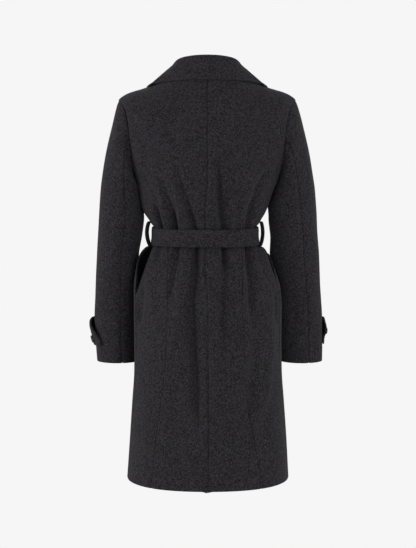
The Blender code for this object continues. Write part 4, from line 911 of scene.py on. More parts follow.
# %% [markdown]
# ## Seams pressed into the cloth
#
# A pressed seam lies a little lower than the cloth beside it, with a soft slope on each
# side. The centre back and the hind-arm seams are the clearest; the left armhole is sewn
# under more strain than the right and draws a deeper line. At the shoulders' tips the lines
# fade, and the hem hangs a little lower where the centre seam's layers end.

# %% Seams pressed in
CENTRE_DIP, SIDE_BACK_DIP, SIDE_DIP, SHOULDER_DIP, ARM_DIP = 2.4, 1.1, 0.6, 0.6, 1.9
ARMHOLE_DIPS = {LEFT: 3.0, RIGHT: 1.4}
DRAWN_IN = {LEFT: 3.4, RIGHT: 1.2}
DIP_WIDTH, ARM_DIP_WIDTH = 2.6, {LEFT: 5.5, RIGHT: 3.6}
HEM_PEAK, HEM_PEAK_WIDTH, HEM_PEAK_RISE = 3.2, 7, 12
HEM_HEIGHT = float(backs[LEFT][-1, 0, 2])
HOLLOW_OFF, HOLLOW_WIDTH, HOLLOW_FADE = 9, 7.5, 5  # the drawn-in cloth below an armhole's seam
TIP_FADE = 0.8  # how much of a sleeve's dip is gone at the shoulder's tip


def from_edge(grid, axis, end):
    """How far each point of a grid lies from one of its edges."""
    flow = grid if end == 0 else np.flip(grid, axis)
    steps = np.linalg.norm(np.diff(flow, axis=axis), axis=-1)
    run = np.cumsum(steps, axis=axis)
    run = np.concatenate([np.zeros_like(run[:1] if axis == 0 else run[:, :1]), run], axis=axis)
    return run if end == 0 else np.flip(run, axis)


def dipped(grid, inwards, edges):
    """The grid sunk along edges: each its axis, end, depth and width, one or one a line."""
    depth = np.zeros(grid.shape[:2])
    for axis, end, low, wide in edges:
        low, wide = np.asarray(low, float), np.asarray(wide, float)
        low = low[:, None] if axis == 1 and low.ndim else low
        wide = wide[:, None] if axis == 1 and wide.ndim else wide
        depth = np.maximum(depth, low * np.exp(-((from_edge(grid, axis, end) / wide) ** 2)))
    return grid + inwards * depth[..., None]


for side in SIDES:
    arm, arm_wide = ARMHOLE_DIPS[side], ARM_DIP_WIDTH[side]
    wedge = from_edge(side_backs[side], 1, -1)[:, 0]
    narrow = np.exp(-((wedge / arm_wide) ** 2))
    seam = np.maximum(SIDE_BACK_DIP, arm * narrow)
    seam_wide = blend(DIP_WIDTH, arm_wide, narrow)
    past_pit = ease((PIT_HEIGHT + 6 - HEIGHTS) / 12)
    at_shoulder = ease((HEIGHTS - TIP_HEIGHT + 26) / 24)
    edge = blend(blend(arm, SIDE_DIP, past_pit), SHOULDER_DIP, at_shoulder)
    edge_wide = blend(blend(arm_wide, DIP_WIDTH, past_pit), DIP_WIDTH, at_shoulder)
    x, z = backs[side][:, :, 0], backs[side][:, :, 2]
    at_hem = ease((HEM_HEIGHT + HEM_PEAK_RISE - z) / HEM_PEAK_RISE)
    backs[side][:, :, 2] -= HEM_PEAK * at_hem * np.exp(-((x / HEM_PEAK_WIDTH) ** 2))
    backs[side] = dipped(backs[side], ways["back", side], [
        (1, 0, CENTRE_DIP, DIP_WIDTH),
        (1, -1, np.concatenate([edge[:SIDE_BACK_ROW], seam]),
         np.concatenate([edge_wide[:SIDE_BACK_ROW], seam_wide])),
    ])
    side_backs[side] = dipped(side_backs[side], ways["side_back", side], [
        (1, 0, seam, seam_wide), (1, -1, edge[SIDE_BACK_ROW:], edge_wide[SIDE_BACK_ROW:]),
    ])
    fronts[side] = dipped(fronts[side], ways["front", side], [(1, 0, edge, edge_wide)])
    for key, grids in (("upper", uppers), ("under", unders)):
        off = from_edge(grids[side], 0, 0)
        at_tip = ease((grids[side][0][:, 2] - TIP_HEIGHT + 32) / 26)
        drawn = DRAWN_IN[side] * ease((grids[side][0][:, 1] - 5) / 30) * (1 - at_tip)
        hollow = drawn * np.exp(-(((off - HOLLOW_OFF) / HOLLOW_WIDTH) ** 2)) * ease(off / HOLLOW_FADE)
        grids[side] = grids[side] + ways[key, side] * hollow[..., None]
        grids[side] = dipped(grids[side], ways[key, side], [
            (0, 0, arm * (1 - TIP_FADE * at_tip), arm_wide),
            (1, 0, ARM_DIP, DIP_WIDTH), (1, -1, ARM_DIP, DIP_WIDTH),
        ])
print("seams pressed in")

# %% [markdown]
# ## Pockets and sewn panels
#
# Each side seam stays open for a hand below the hips. Its two lips stand back from the
# seam a little and come together at both ends. The sleeves start a third of a millimetre
# below the armhole's line, where the seam sinks between the two layers.

# %% Sew the panels
WORDS = {LEFT: "left", RIGHT: "right"}
POCKET_TOP, POCKET_BOTTOM, POCKET_GAPE = -490.0, -640.0, 1.6
LIP_PAST, LIP_FADE, LIP_COLUMNS = 4, 14, 5
BELOW_ARMHOLE = 0.35


def opened_at_pocket(grid, column, heights):
    """The grid with the columns by its side seam moved back along the pocket."""
    lips = POCKET_GAPE * ease((POCKET_TOP + LIP_PAST - heights) / LIP_FADE)
    lips = lips * ease((heights - POCKET_BOTTOM + LIP_PAST) / LIP_FADE)
    order = range(LIP_COLUMNS) if column == 0 else range(-1, -LIP_COLUMNS - 1, -1)
    along = unit(grid[:, order[1]] - grid[:, column])
    grid = grid.copy()
    for number, k in enumerate(order):
        grid[:, k] += along * (lips * (1 - number / LIP_COLUMNS))[:, None]
    return grid


pieces = {}
for side, word in WORDS.items():
    side_backs[side] = opened_at_pocket(side_backs[side], -1, HEIGHTS[SIDE_BACK_ROW:])
    fronts[side] = opened_at_pocket(fronts[side], 0, HEIGHTS)
    for grid in (uppers[side], unders[side]):
        grid[0] += BELOW_ARMHOLE * unit(grid[1] - grid[0])
    for key, grids, turned in PANELS:
        node = ("sleeve_" if turned < 0 else "") + key + "_" + word
        pieces[node] = cloth_shell(node + "_cloth", grids[side], ways[key, side], WALL)
print("panels:", sorted(pieces))

# %% [markdown]
# ## Finer surfaces for the made-up pieces
#
# The collar, lapels, tabs and belt ends were drawn as sparse grids. A smooth track through
# each row and then through each column fills in the points between, so the piece keeps its
# shape and its bends become round.

# %% Finer surfaces
SURFACE_HALVINGS = 22


def finer(grid, rows, columns):
    """The same surface with more points, even along each line."""
    across = []
    for line in grid:
        run = running_length(line)
        across.append(Track(run, line)(np.linspace(0, run[-1], columns)))
    across = np.array(across)
    run = running_length(across[:, columns // 2])
    at = np.linspace(0, run[-1], rows)
    return np.stack([Track(run, across[:, j])(at) for j in range(columns)], axis=1)


def surface_at(x, z, face, under=False):
    """The body's outer surface at this place seen from behind or in front, and the way out."""
    side = LEFT if x >= 0 else RIGHT
    high, low = NECK, HEM
    for _ in range(SURFACE_HALVINGS):
        middle = (high + low) / 2
        half_width, _, _, shift, _, _, _ = ring_at(middle, face)
        narrow = abs(x - shift) >= half_width and middle > TIP_HEIGHT
        if narrow or form_point(middle, turn_at(middle, x, face, side), face)[2] > z:
            high = middle
        else:
            low = middle
    turn = turn_at(low, x, face, side)
    here, out = form_point(low, turn, face), way_out(low, turn, face)
    if under:
        here = here - out * under_step(x, z)
    return here, out


def laid(x, z, face, lift, under=False):
    """The point this far off the body at x and z."""
    here, out = surface_at(x, z, face, under)
    return here + out * lift


def held_off(point, lift, face, under=False):
    """The point, moved out where it would be nearer than this to the body."""
    here, out = surface_at(point[0], point[2], face, under)
    return point + out * max(lift - float(np.dot(point - here, out)), 0.0)


def skins(middle, wall, away_from):
    """For a sheet through a piece's middle: the skin away from a place, and the ways in from it."""
    out = across_grid(middle)
    row, column = middle.shape[0] // 2, middle.shape[1] * 3 // 4
    if np.dot(out[row, column], middle[row, column] - away_from) < 0:
        out = -out
    return middle + out * wall / 2, -out


def sewn_piece(node, rows, size, wall, away_from):
    """Make the piece that takes a node's place from sparse rows, and return its outer skin."""
    outer, inwards = skins(finer(np.array(rows), *size), wall, away_from)
    pieces[node] = cloth_shell(node + "_cloth", outer, inwards, wall)
    return outer


print("surface halvings:", SURFACE_HALVINGS)

# %% [markdown]
# ## Collar
#
# The collar stands up from the neck seam, rolls over and falls back onto the shoulders. It
# is two layers sewn and turned, so its edge is thick and round, with a row of stitches
# 12 mm in from it. Each section is a short line: up the stand, over the roll and down the
# fall to the edge, never nearer to the coat than its own thickness.

# %% Collar
# how far in from the edge the topstitching runs, how deep and how wide it draws the cloth down
COLLAR_STITCH_IN, STITCH_DIP, STITCH_DIP_WIDTH = 12.0, 1.1, 2.4
ROLL_SHAPE = (
    # share of the stand, share of the roll upwards, share of the roll outwards
    (0.5, 0.0, 0.0), (0.82, 0.0, 0.08), (1.0, -0.05, 0.45), (1.0, 0.05, 1.1), (1.0, -0.45, 1.75),
)


def turned_section(rim, off, out, stand, off_share, roll, fall, face, lift, under):
    """One section of a collar or lapel: up from its seam, over the roll and down to its edge."""
    up = unit(off * off_share + UP * (1 - off_share))
    tilt = float(np.linalg.norm(np.cross(up, off)))
    base = rim - out * WALL / 2 + off * (SEAM_GAP + 0.1 + tilt * DOUBLE / 2)
    away = unit(out - up * float(np.dot(out, up)))
    points = [base]
    for of_stand, rise, aside in ROLL_SHAPE:
        points.append(base + up * (of_stand * stand + rise * roll) + away * aside * roll)
    edge = laid(fall[0], fall[1], face, lift, under)
    start = base + up * (stand - 1.2 * roll) + away * 1.95 * roll
    for part in (0.0, 0.3, 0.55, 0.78, 1.0):
        points.append(held_off(blend(start, edge, part), lift, face, under))
    return points


def front_edge_base(z, side):
    """The front's free edge at this height, the way off it and the way out of the cloth."""
    edge = over_edge if side == RIGHT else under_edge
    under = side == LEFT
    here, out = surface_at(-side * float(edge(z)), z, FRONT, under)
    above, _ = surface_at(-side * float(edge(z + 3)), z + 3, FRONT, under)
    below, _ = surface_at(-side * float(edge(z - 3)), z - 3, FRONT, under)
    off = unit(np.cross(unit(above - below), out))
    return here, off * math.copysign(1, -side * off[0]), out


def neck_base(part, face, side):
    """The neck edge at a part of its back or front half, the way up off it and out of the cloth."""
    if face == BACK:
        start, end = 0.0, side * math.pi / 2
    else:
        start, end = side * math.pi / 2, front_end_turn(NECK, side)
    trial = np.linspace(start, end, TRIALS)
    run = running_length(form_point(NECK, trial, face))
    turn = float(np.interp(part * run[-1], run, trial))
    here = form_point(NECK, turn, face)
    off = unit(here - form_point(NECK - 4, turn, face))
    if face == FRONT and part == 1:
        off = unit(off + front_edge_base(here[2] - 4, side)[1])
    return here, off, way_out(NECK - 2, turn, face)


# The collar's sections from the centre back on: stand, share of it that follows the neck's
# lean, roll, fall x, fall z, lift. Those of the front's edge start with their height.
BACK_SECTIONS = (
    (30.7, 0.25, 5.5, 0.0, -17.0, 2.6), (30.6, 0.25, 5.5, 17.0, -17.1, 2.6),
    (30.5, 0.25, 5.5, 34.0, -17.4, 2.6), (30.3, 0.25, 5.5, 51.0, -18.0, 2.6),
    (29.9, 0.25, 5.5, 68.0, -19.0, 2.6), (29.3, 0.25, 5.5, 85.0, -20.6, 2.6),
    (28.2, 0.27, 5.5, 101.0, -23.2, 2.6), (26.1, 0.3, 5.4, 117.0, -27.0, 2.6),
    (23.6, 0.33, 5.3, 131.0, -31.5, 2.6),
)
SHOULDER_SECTIONS = (
    (BACK, 1.0, 20.8, 0.36, 5.2, 140.0, -36.5, 2.6), (FRONT, 0.5, 18.8, 0.4, 5.1, 142.0, -41.5, 2.8),
    (FRONT, 1.0, 16.2, 0.45, 5.0, 143.0, -46.0, 3.0),
)
EDGE_SECTIONS = (
    (-11.0, 12.5, 0.6, 4.9, 143.0, -51.0, 3.6), (-21.0, 9.5, 0.8, 4.8, 141.0, -57.0, 3.6),
    (-32.0, 7.0, 0.95, 4.6, 138.0, -62.5, 3.6), (-44.0, 5.0, 1.0, 4.4, 133.0, -67.0, 3.6),
)


def collar_half(side):
    count = len(BACK_SECTIONS)
    rows = [(neck_base(k / count, BACK, side), BACK, row) for k, row in enumerate(BACK_SECTIONS)]
    rows += [(neck_base(part, face, side), FRONT, row) for face, part, *row in SHOULDER_SECTIONS]
    rows += [(front_edge_base(z, side), FRONT, row) for z, *row in EDGE_SECTIONS]
    return [
        turned_section(*base, stand, lean, roll, (side * x, z), face, lift, False)
        for base, face, (stand, lean, roll, x, z, lift) in rows
    ]


collar_halves = {side: collar_half(side) for side in SIDES}
collar_middle = finer(np.array(collar_halves[RIGHT][::-1] + collar_halves[LEFT][1:]), 230, 54)
collar_outer, collar_ways = skins(collar_middle, DOUBLE, UP * -60.0)
off_line = (from_edge(collar_outer, 1, -1) - COLLAR_STITCH_IN) / STITCH_DIP_WIDTH
collar_outer = collar_outer + collar_ways * (STITCH_DIP * np.exp(-(off_line**2)))[..., None]
pieces["collar"] = cloth_shell("collar_cloth", collar_outer, collar_ways, DOUBLE)
print("collar sections:", len(collar_middle))

# %% [markdown]
# ## Lapels
#
# The lapels grow out of the fronts' edges, roll over and lie flat on the chest, wide at
# the peak and narrowing down to the belt. Each starts under the collar's end, where the
# notch opens between the two. The frame shows them from the front, and they are finished
# as plainly as the collar.

# %% Lapels
LAPEL_EDGE = np.array((
    (136.0, -95.0), (131.0, -130.0), (118.0, -175.0), (95.0, -224.0), (60.0, -270.0),
    (16.0, -306.0), (-24.0, -326.0),
))
LAPEL_STAND, LAPEL_ROLL, LAPEL_LIFT = 4.6, 4.3, 4.8
LAPEL_ROWS = 11
GORGE_GAP = 0.6  # between the collar's end and the lapel under it
NOTCH = 8  # the point of the collar's end where the notch opens
Lapel = namedtuple("Lapel", "side roll_top roll_end edge_end")
LAPELS = (Lapel(RIGHT, -46.0, -322.0, -326.0), Lapel(LEFT, -46.0, -239.0, -292.0))


def lapel_top(gorge, side, under):
    """A lapel's top row: under the collar's end as far as the notch, then out to its peak."""
    points = [point - UP * GORGE_GAP for point in gorge[: NOTCH + 1]]
    notch = points[-1]
    rest = len(gorge) - NOTCH
    for k in range(1, rest):
        f = k / (rest - 1)
        x, z = blend(notch[0], side * LAPEL_EDGE[0, 0], f), blend(notch[2], LAPEL_EDGE[0, 1], f)
        points.append(laid(x, z, FRONT, LAPEL_LIFT, under))
    return points


def lapel_sections(lapel):
    """A lapel's rows: each up from the front's edge, over the roll and down to its own edge."""
    edge_x = Track(LAPEL_EDGE[:, 1], LAPEL_EDGE[:, 0])
    under = lapel.side == LEFT
    sections = [lapel_top(collar_halves[lapel.side][-1], lapel.side, under)]
    for row in range(1, LAPEL_ROWS + 1):
        f = row / LAPEL_ROWS
        base = front_edge_base(blend(lapel.roll_top, lapel.roll_end, f), lapel.side)
        z = blend(LAPEL_EDGE[0, 1], lapel.edge_end, f)
        fall = (lapel.side * float(edge_x(z)), z)
        sections.append(
            turned_section(*base, LAPEL_STAND, 1.0, LAPEL_ROLL, fall, FRONT, LAPEL_LIFT, under)
        )
    return sections


lapel_grids = []
for lapel in LAPELS:
    node = "lapel_" + WORDS[lapel.side]
    lapel_grids.append(sewn_piece(node, lapel_sections(lapel), (100, 46), DOUBLE, UP * -200.0))
print("lapels:", [n for n in pieces if n.startswith("lapel")])

# %% [markdown]
# ## Belt
#
# The belt is one long sash of doubled cloth, 40 mm wide, drawn tight round the waist and
# knotted in front. Here it is a closed band with soft edges and a row of stitches near
# each. It dips and rises by less than a millimetre, as cloth does under tension.

# %% Belt
BELT_THICK, BELT_CLEAR = 3.6, 0.5
BELT_ROWS, BELT_COLUMNS = 15, 260
BELT_CROWN, BELT_FLARE, BELT_WAVE = 0.4, 2.2, 0.6


def full_turn(height, turns):
    """Points right round the body and the ways out of it."""
    back = np.cos(turns) > 0
    points, outs = np.empty((len(turns), 3)), np.empty((len(turns), 3))
    for face, chosen in ((BACK, back), (FRONT, ~back)):
        points[chosen] = form_point(height, turns[chosen], face)
        outs[chosen] = level_out(height, turns[chosen], face)
    return points, outs


def belt_sheet():
    """The belt's outer skin right round the waist, upper edge first, and the ways in from it."""
    turns = np.linspace(math.pi, 3 * math.pi, BELT_COLUMNS, endpoint=False)
    points, outs = full_turn(BELT_MIDDLE, turns)
    rows = []
    for f in np.linspace(-1, 1, BELT_ROWS):
        wave = 0.5 * np.sin(3 * turns + 0.7) + 0.3 * np.sin(7 * turns + 2.0)
        crown = BELT_CROWN * (1 - f * f) + 0.25 * np.sin(5 * turns + 1.3 * f) + 0.25
        flare = BELT_FLARE * ease(f) * np.abs(np.sin(turns)) ** 4
        row = points + outs * (BELT_CLEAR + BELT_THICK + crown + flare)[:, None]
        row[:, 2] = BELT_MIDDLE - f * (BELT_TOP - BELT_MIDDLE - 0.5) + wave * BELT_WAVE
        rows.append(row)
    return np.array(rows), np.broadcast_to(-outs, (BELT_ROWS, BELT_COLUMNS, 3)).copy()


belt_outer, belt_ways = belt_sheet()
pieces["belt"] = cloth_shell("belt_cloth", belt_outer, belt_ways, BELT_THICK, closed=True)
waist = running_length(belt_outer[BELT_ROWS // 2])[-1]
print("belt round the waist:", round(float(waist)), "mm")

# %% [markdown]
# ## Tails of the belt
#
# The two ends of the sash hang from the knot, pinched at the top and opening to the belt's
# full width. They lie on the over front and lean apart.

# %% Tails of the belt
KNOT_X = 22.0
KNOT_HALF = np.array([23.0, 8.5, 27.0])
TAIL_WIDTH, TAIL_PINCHED, TAIL_THICK, TAIL_ROWS = 40.5, 18.0, 3.2, 16
TAIL_OPENS = 3.2  # a tail has its full width after its length divided by this
TAIL_CLEAR, TAIL_OFF_KNOT, PLEAT_HEIGHT = 0.8, 3.5, 2.2
Tail = namedtuple("Tail", "name top_x bottom_x bottom_z")
TAILS = (
    Tail("belt_tail_long", KNOT_X - 10.5, KNOT_X - 27.0, -700.0),
    Tail("belt_tail_short", KNOT_X + 10.5, KNOT_X + 25.0, -655.0),
)
ACROSS = (-0.5, -0.25, 0.0, 0.25, 0.5)
tail_grids = []
for tail in TAILS:
    rows = []
    for k in range(TAIL_ROWS):
        f = k / (TAIL_ROWS - 1)
        z = blend(BELT_MIDDLE - KNOT_HALF[2] - 5.0, tail.bottom_z, f)
        x = blend(tail.top_x, tail.bottom_x, ease(f * TAIL_OPENS))
        width = blend(TAIL_PINCHED, TAIL_WIDTH, ease(f * TAIL_OPENS))
        row = []
        for across in ACROSS:
            lift = TAIL_THICK / 2 + TAIL_CLEAR + TAIL_OFF_KNOT * (1 - ease(f * 6))
            pleat = PLEAT_HEIGHT * (1 - ease(f * 2.4)) * math.cos(2 * math.pi * across)
            lift += math.sin(5 * f + across * 2) ** 2 * f + max(pleat, 0)
            row.append(laid(x + across * width, z, FRONT, lift))
        rows.append(row)
    tail_grids.append(sewn_piece(tail.name, rows, (96, 18), TAIL_THICK, UP * -500.0))
print("tails:", [tail.name for tail in TAILS])

# %% [markdown]
# ## Belt loops
#
# A narrow strip of doubled cloth stands off each side of the waist. The belt doesn't fill
# it, so it bows out in a slack curve that shows light between itself and the belt.

# %% Belt loops
LOOP_TOP, LOOP_BOTTOM, LOOP_WIDTH, LOOP_THICK = -340.5, -397.0, 12.0, 4.0
LOOP_BULGES, LOOP_TWISTS = {LEFT: 7.2, RIGHT: 5.6}, {LEFT: 6.0, RIGHT: 5.2}
LOOP_ROWS = 21
for side, bulge in LOOP_BULGES.items():
    turn = np.array([side * math.pi / 2])
    start, end = (
        side * full_turn(z, turn)[0][0, 0] + LOOP_THICK / 2 for z in (LOOP_TOP, LOOP_BOTTOM)
    )
    rows = []
    for f in np.linspace(0, 1, LOOP_ROWS):
        x = blend(start, end, f) + bulge * math.sin(math.pi * f) ** 0.7
        z = blend(LOOP_TOP, LOOP_BOTTOM, f)
        rows.append([
            [side * (x + y * LOOP_TWISTS[side]), y * LOOP_WIDTH, z] for y in (-0.5, 0.0, 0.5)
        ])
    sewn_piece("belt_loop_" + WORDS[side], rows, (44, 10), LOOP_THICK, UP * BELT_MIDDLE)
print("loops:", len(LOOP_BULGES))

# %% [markdown]
# ## Cuff tabs
#
# A tab runs round the outer half of each cuff, from the forearm seam to a free end that is
# held by a button. It is slack and stands off the sleeve, the left one most.

# %% Cuff tabs
# z, then the free end's turn in degrees and the stand-off, for the left and for the right
TAB_ROWS = np.array((
    (-574.0, 0.0, 1.5, -2.0, 1.0), (-579.0, 7.0, 6.0, 2.0, 2.6), (-586.0, 15.0, 8.6, 4.0, 4.0),
    (-596.0, 25.0, 8.4, 6.0, 6.4), (-607.0, 35.0, 6.2, 8.0, 6.6), (-618.0, 43.0, 4.0, 10.0, 3.0),
    (-627.0, 48.0, 2.2, 11.0, 0.8), (-634.0, 49.0, 1.2, 6.0, 0.4), (-641.0, 46.0, 0.8, 0.0, 0.2),
))
TAB_THICK = 3.4
TAB_LEAVES, TAB_FREE = -75, -5  # the turns, in degrees, where it leaves the sleeve and is clear
cuff_sizes = Track(SLEEVE_RINGS[:, 1], SLEEVE_RINGS)
tab_end = {side: columns_of(TAB_ROWS[:, [0, k]]) for side, k in ((LEFT, 1), (RIGHT, 3))}
tab_off = {side: columns_of(TAB_ROWS[:, [0, k]]) for side, k in ((LEFT, 2), (RIGHT, 4))}


def cuff_point(z, turn, side):
    """A point of the lower sleeve's surface and the level way out of it."""
    ring = cuff_sizes(z).copy()
    ring[1] = ring[3] = z
    here = sleeve_point(ring, turn, side)
    along = sleeve_point(ring, turn + 0.01, side) - sleeve_point(ring, turn - 0.01, side)
    return here, unit(np.array([along[1], -along[0], 0.0])) * side


def tab_point(side, z, turn, lift):
    """A point this far off the cuff tab's inner skin."""
    here, out = cuff_point(z, turn, side)
    free = ease((math.degrees(turn) - TAB_LEAVES) / (TAB_FREE - TAB_LEAVES))
    return here + out * (1.0 + float(tab_off[side](z)) * free + lift)


tab_grids = {}
for side, word in WORDS.items():
    rows = []
    for z in np.linspace(TAB_ROWS[0, 0], TAB_ROWS[-1, 0], 17):
        end = math.radians(float(tab_end[side](z)))
        turns = np.linspace(FORE_TURN + 0.06, end, 16)
        rows.append([tab_point(side, z, turn, TAB_THICK) for turn in turns])
    outer = finer(np.array(rows), 30, 60)
    inwards = across_grid(outer)
    inwards *= math.copysign(1, -side * inwards[15, 50, 0])
    tab_grids[side] = outer
    node = "cuff_tab_" + word
    pieces[node] = cloth_shell(node + "_cloth", outer, inwards, TAB_THICK)
print("tabs:", len(tab_grids))

# %% [markdown]
# ## Pocket facings
#
# A pocket opens in each side seam below the hips. Its lips stand a little apart, and a
# strip of cloth lies behind the slit so that nobody sees into the coat.

# %% Pocket facings
FACING_THICK, FACING_GAP, FACING_PAST = 1.6, 1.6, 8
FACING_DEPTH = WALL + FACING_GAP + FACING_THICK / 2
FACING_TURNS = (-0.07, 0.02, 0.11, 0.2)  # past the side seam
for side, word in WORDS.items():
    rows = []
    for z in np.linspace(POCKET_TOP + FACING_PAST, POCKET_BOTTOM - FACING_PAST, 12):
        row = []
        for reach in FACING_TURNS:
            turns = np.array([side * (math.radians(float(side_seam_angle(z))) + reach)])
            face = FRONT if abs(turns[0]) > math.pi / 2 else BACK
            row.append(cloth_row(z, turns, face)[0] - level_out(z, turns, face)[0] * FACING_DEPTH)
        rows.append(row)
    sewn_piece("pocket_facing_" + word, rows, (40, 14), FACING_THICK, UP * -560.0)
print("pockets from", POCKET_TOP, "to", POCKET_BOTTOM)

# %% [markdown]
# ## The knot
#
# The knot is the sash wrapped once round itself: a soft rounded lump with a band that
# crosses it from the upper edge to the lower one. A sphere's points are moved so that it
# is squared off and flattened and its middle is drawn in by the band. The band is a strip
# bent over it.

# %% The knot
front_here, _ = surface_at(KNOT_X, BELT_MIDDLE, FRONT)
knot_back = front_here[1] - BELT_CLEAR - BELT_THICK - 0.9
knot_centre = np.array([KNOT_X, knot_back - 0.9 * KNOT_HALF[1], BELT_MIDDLE])
SQUARENESS = 0.62  # of the knot's core: 1 keeps the sphere round
bpy.ops.object.select_all(action="DESELECT")
bpy.ops.mesh.primitive_uv_sphere_add(segments=64, ring_count=40, radius=1.0)
knot_core = bpy.context.object
knot_core.name = "belt_knot_core"
for vertex in knot_core.data.vertices:
    x, y, z = (math.copysign(abs(part) ** SQUARENESS, part) for part in vertex.co)
    x *= 1 - 0.16 * z
    waist = math.exp(-(((x + 0.5 * z) / 0.5) ** 2))
    crease = 0.14 * math.exp(-((abs(x + 0.5 * z) - 0.62) / 0.09) ** 2)
    swell = 1 - 0.16 * waist * (y < 0) - crease
    vertex.co = (knot_centre + np.array([x * 0.94, y * swell * 0.9, z * 0.94]) * KNOT_HALF) * MM
bpy.ops.object.shade_smooth()
BAND_DEGREES, BAND_THICK = 62, 2.4
band_rows = []
for f in np.linspace(0, 1, 23):
    angle = math.radians(blend(BAND_DEGREES, -BAND_DEGREES, f))
    half = blend(13.0, 10.5, abs(2 * f - 1))
    row = []
    for across in (-1.0, -0.5, 0.0, 0.5, 1.0):
        x = KNOT_X - 12.0 * math.sin(angle) + across * half + 1.0
        z = BELT_MIDDLE + 25.0 * math.sin(angle) / math.sin(math.radians(BAND_DEGREES))
        y = knot_back - 14.4 * math.cos(angle) ** 0.55 + 1.6 * across * across
        row.append([x, y, z])
    band_rows.append(row)
outer, inwards = skins(finer(np.array(band_rows), 60, 22), BAND_THICK, knot_centre)
knot_band = cloth_shell("belt_knot_band", outer, inwards, BAND_THICK)
print("knot at", np.round(knot_centre, 1))

# %% [markdown]
# ## Buttons
#
# Each cuff button is moulded plastic, 18 mm across with a raised rim, a dished middle and
# four holes. A cylinder's cap is inset and pushed down for the dish, the rim is bevelled,
# and four small cylinders are cut away for the holes. It is made once, lying flat at the
# centre, and each copy's mesh is turned and moved to its place on a tab.

# %% The button's pattern
BUTTON_RADIUS, BUTTON_THICK = 9.0 * MM, 3.2 * MM
RIM_WIDTH, RIM_HEIGHT, DISH_SLOPE, DISH_DEPTH = 1.3 * MM, 0.35 * MM, 1.5 * MM, 1.2 * MM
ROUNDING, HOLE_RADIUS, HOLE_OFF = 0.45 * MM, 1.0 * MM, 2.1 * MM


def only(obj):
    """Select one object and make it the active one."""
    bpy.ops.object.select_all(action="DESELECT")
    obj.select_set(True)
    bpy.context.view_layer.objects.active = obj


def make_button():
    """A four-hole button, its back on the ground."""
    bpy.ops.object.select_all(action="DESELECT")
    bpy.ops.mesh.primitive_cylinder_add(
        vertices=64, radius=BUTTON_RADIUS, depth=BUTTON_THICK, location=(0, 0, BUTTON_THICK / 2)
    )
    button = bpy.context.object
    bpy.ops.object.transform_apply(location=True, rotation=True, scale=True)
    bpy.ops.object.mode_set(mode="EDIT")
    bpy.ops.mesh.select_mode(type="FACE")
    bpy.ops.mesh.select_all(action="DESELECT")
    bpy.ops.object.mode_set(mode="OBJECT")
    for face in button.data.polygons:
        face.select = face.normal.z > 0.9
    bpy.ops.object.mode_set(mode="EDIT")
    bpy.ops.mesh.inset(thickness=RIM_WIDTH, depth=RIM_HEIGHT)
    bpy.ops.mesh.inset(thickness=DISH_SLOPE, depth=-DISH_DEPTH)
    bpy.ops.object.mode_set(mode="OBJECT")
    bevel = button.modifiers.new("round", "BEVEL")
    bevel.width = ROUNDING
    bevel.segments = 3
    bevel.limit_method = "ANGLE"
    only(button)
    bpy.ops.object.modifier_apply(modifier=bevel.name)
    for k in range(4):
        angle = math.radians(45 + 90 * k)
        bpy.ops.object.select_all(action="DESELECT")
        bpy.ops.mesh.primitive_cylinder_add(
            vertices=20, radius=HOLE_RADIUS, depth=4 * BUTTON_THICK,
            location=(HOLE_OFF * math.cos(angle), HOLE_OFF * math.sin(angle), 0),
        )
        drill = bpy.context.object
        cut = button.modifiers.new("hole", "BOOLEAN")
        cut.operation = "DIFFERENCE"
        cut.object = drill
        only(button)
        bpy.ops.object.modifier_apply(modifier=cut.name)
        bpy.data.objects.remove(drill, do_unlink=True)
    return button


pattern_button = make_button()
print("button faces:", len(pattern_button.data.polygons))

# %% Place the buttons
BUTTON_PLACES = {LEFT: (-626.0, 14.0), RIGHT: (-610.0, -14.0)}  # z, turn in degrees
for side, (z, degrees) in BUTTON_PLACES.items():
    turn = math.radians(degrees)
    here = tab_point(side, z, turn, TAB_THICK)
    beside = tab_point(side, z, turn + 0.05, TAB_THICK) - here
    above = tab_point(side, z + 3.0, turn, TAB_THICK) - here
    out = unit(np.cross(beside, above)) * side
    across = unit(np.cross(UP, out))
    turned = Matrix(np.stack([across, np.cross(out, across), out], axis=-1)).to_4x4()
    button = pattern_button.copy()
    button.data = pattern_button.data.copy()
    button.name = "cuff_button_" + WORDS[side] + "_moulded"
    bpy.context.scene.collection.objects.link(button)
    button.data.transform(Matrix.Translation(Vector((here - out * 0.05) * MM)) @ turned)
    only(button)
    bpy.ops.object.shade_smooth_by_angle(angle=math.radians(35))
    pieces["cuff_button_" + WORDS[side]] = button
bpy.data.objects.remove(pattern_button, do_unlink=True)
print("buttons placed:", len(BUTTON_PLACES))

# %% [markdown]
# ## Sewing
#
# Topstitching holds the turned edges flat: 12 mm in from the collar's and lapels' edges,
# 8 mm in from the belt's, 6 mm in from its tails' and 5 mm in from the tabs'. Each stitch
# is a short fat thread whose ends dive into the cloth, modelled once and laid along the
# lines.

# %% Stitches
STITCH_LENGTH, STITCH_STEP, THREAD_RADIUS = 3.0, 4.2, 0.36
TAB_STITCH_IN, TAIL_STITCH_IN = 5.0, 6.0
BELT_STITCH_ROWS = (3, 11)
BELOW_KNOT = 14  # the row of a tail where its stitches start
thread_points = []


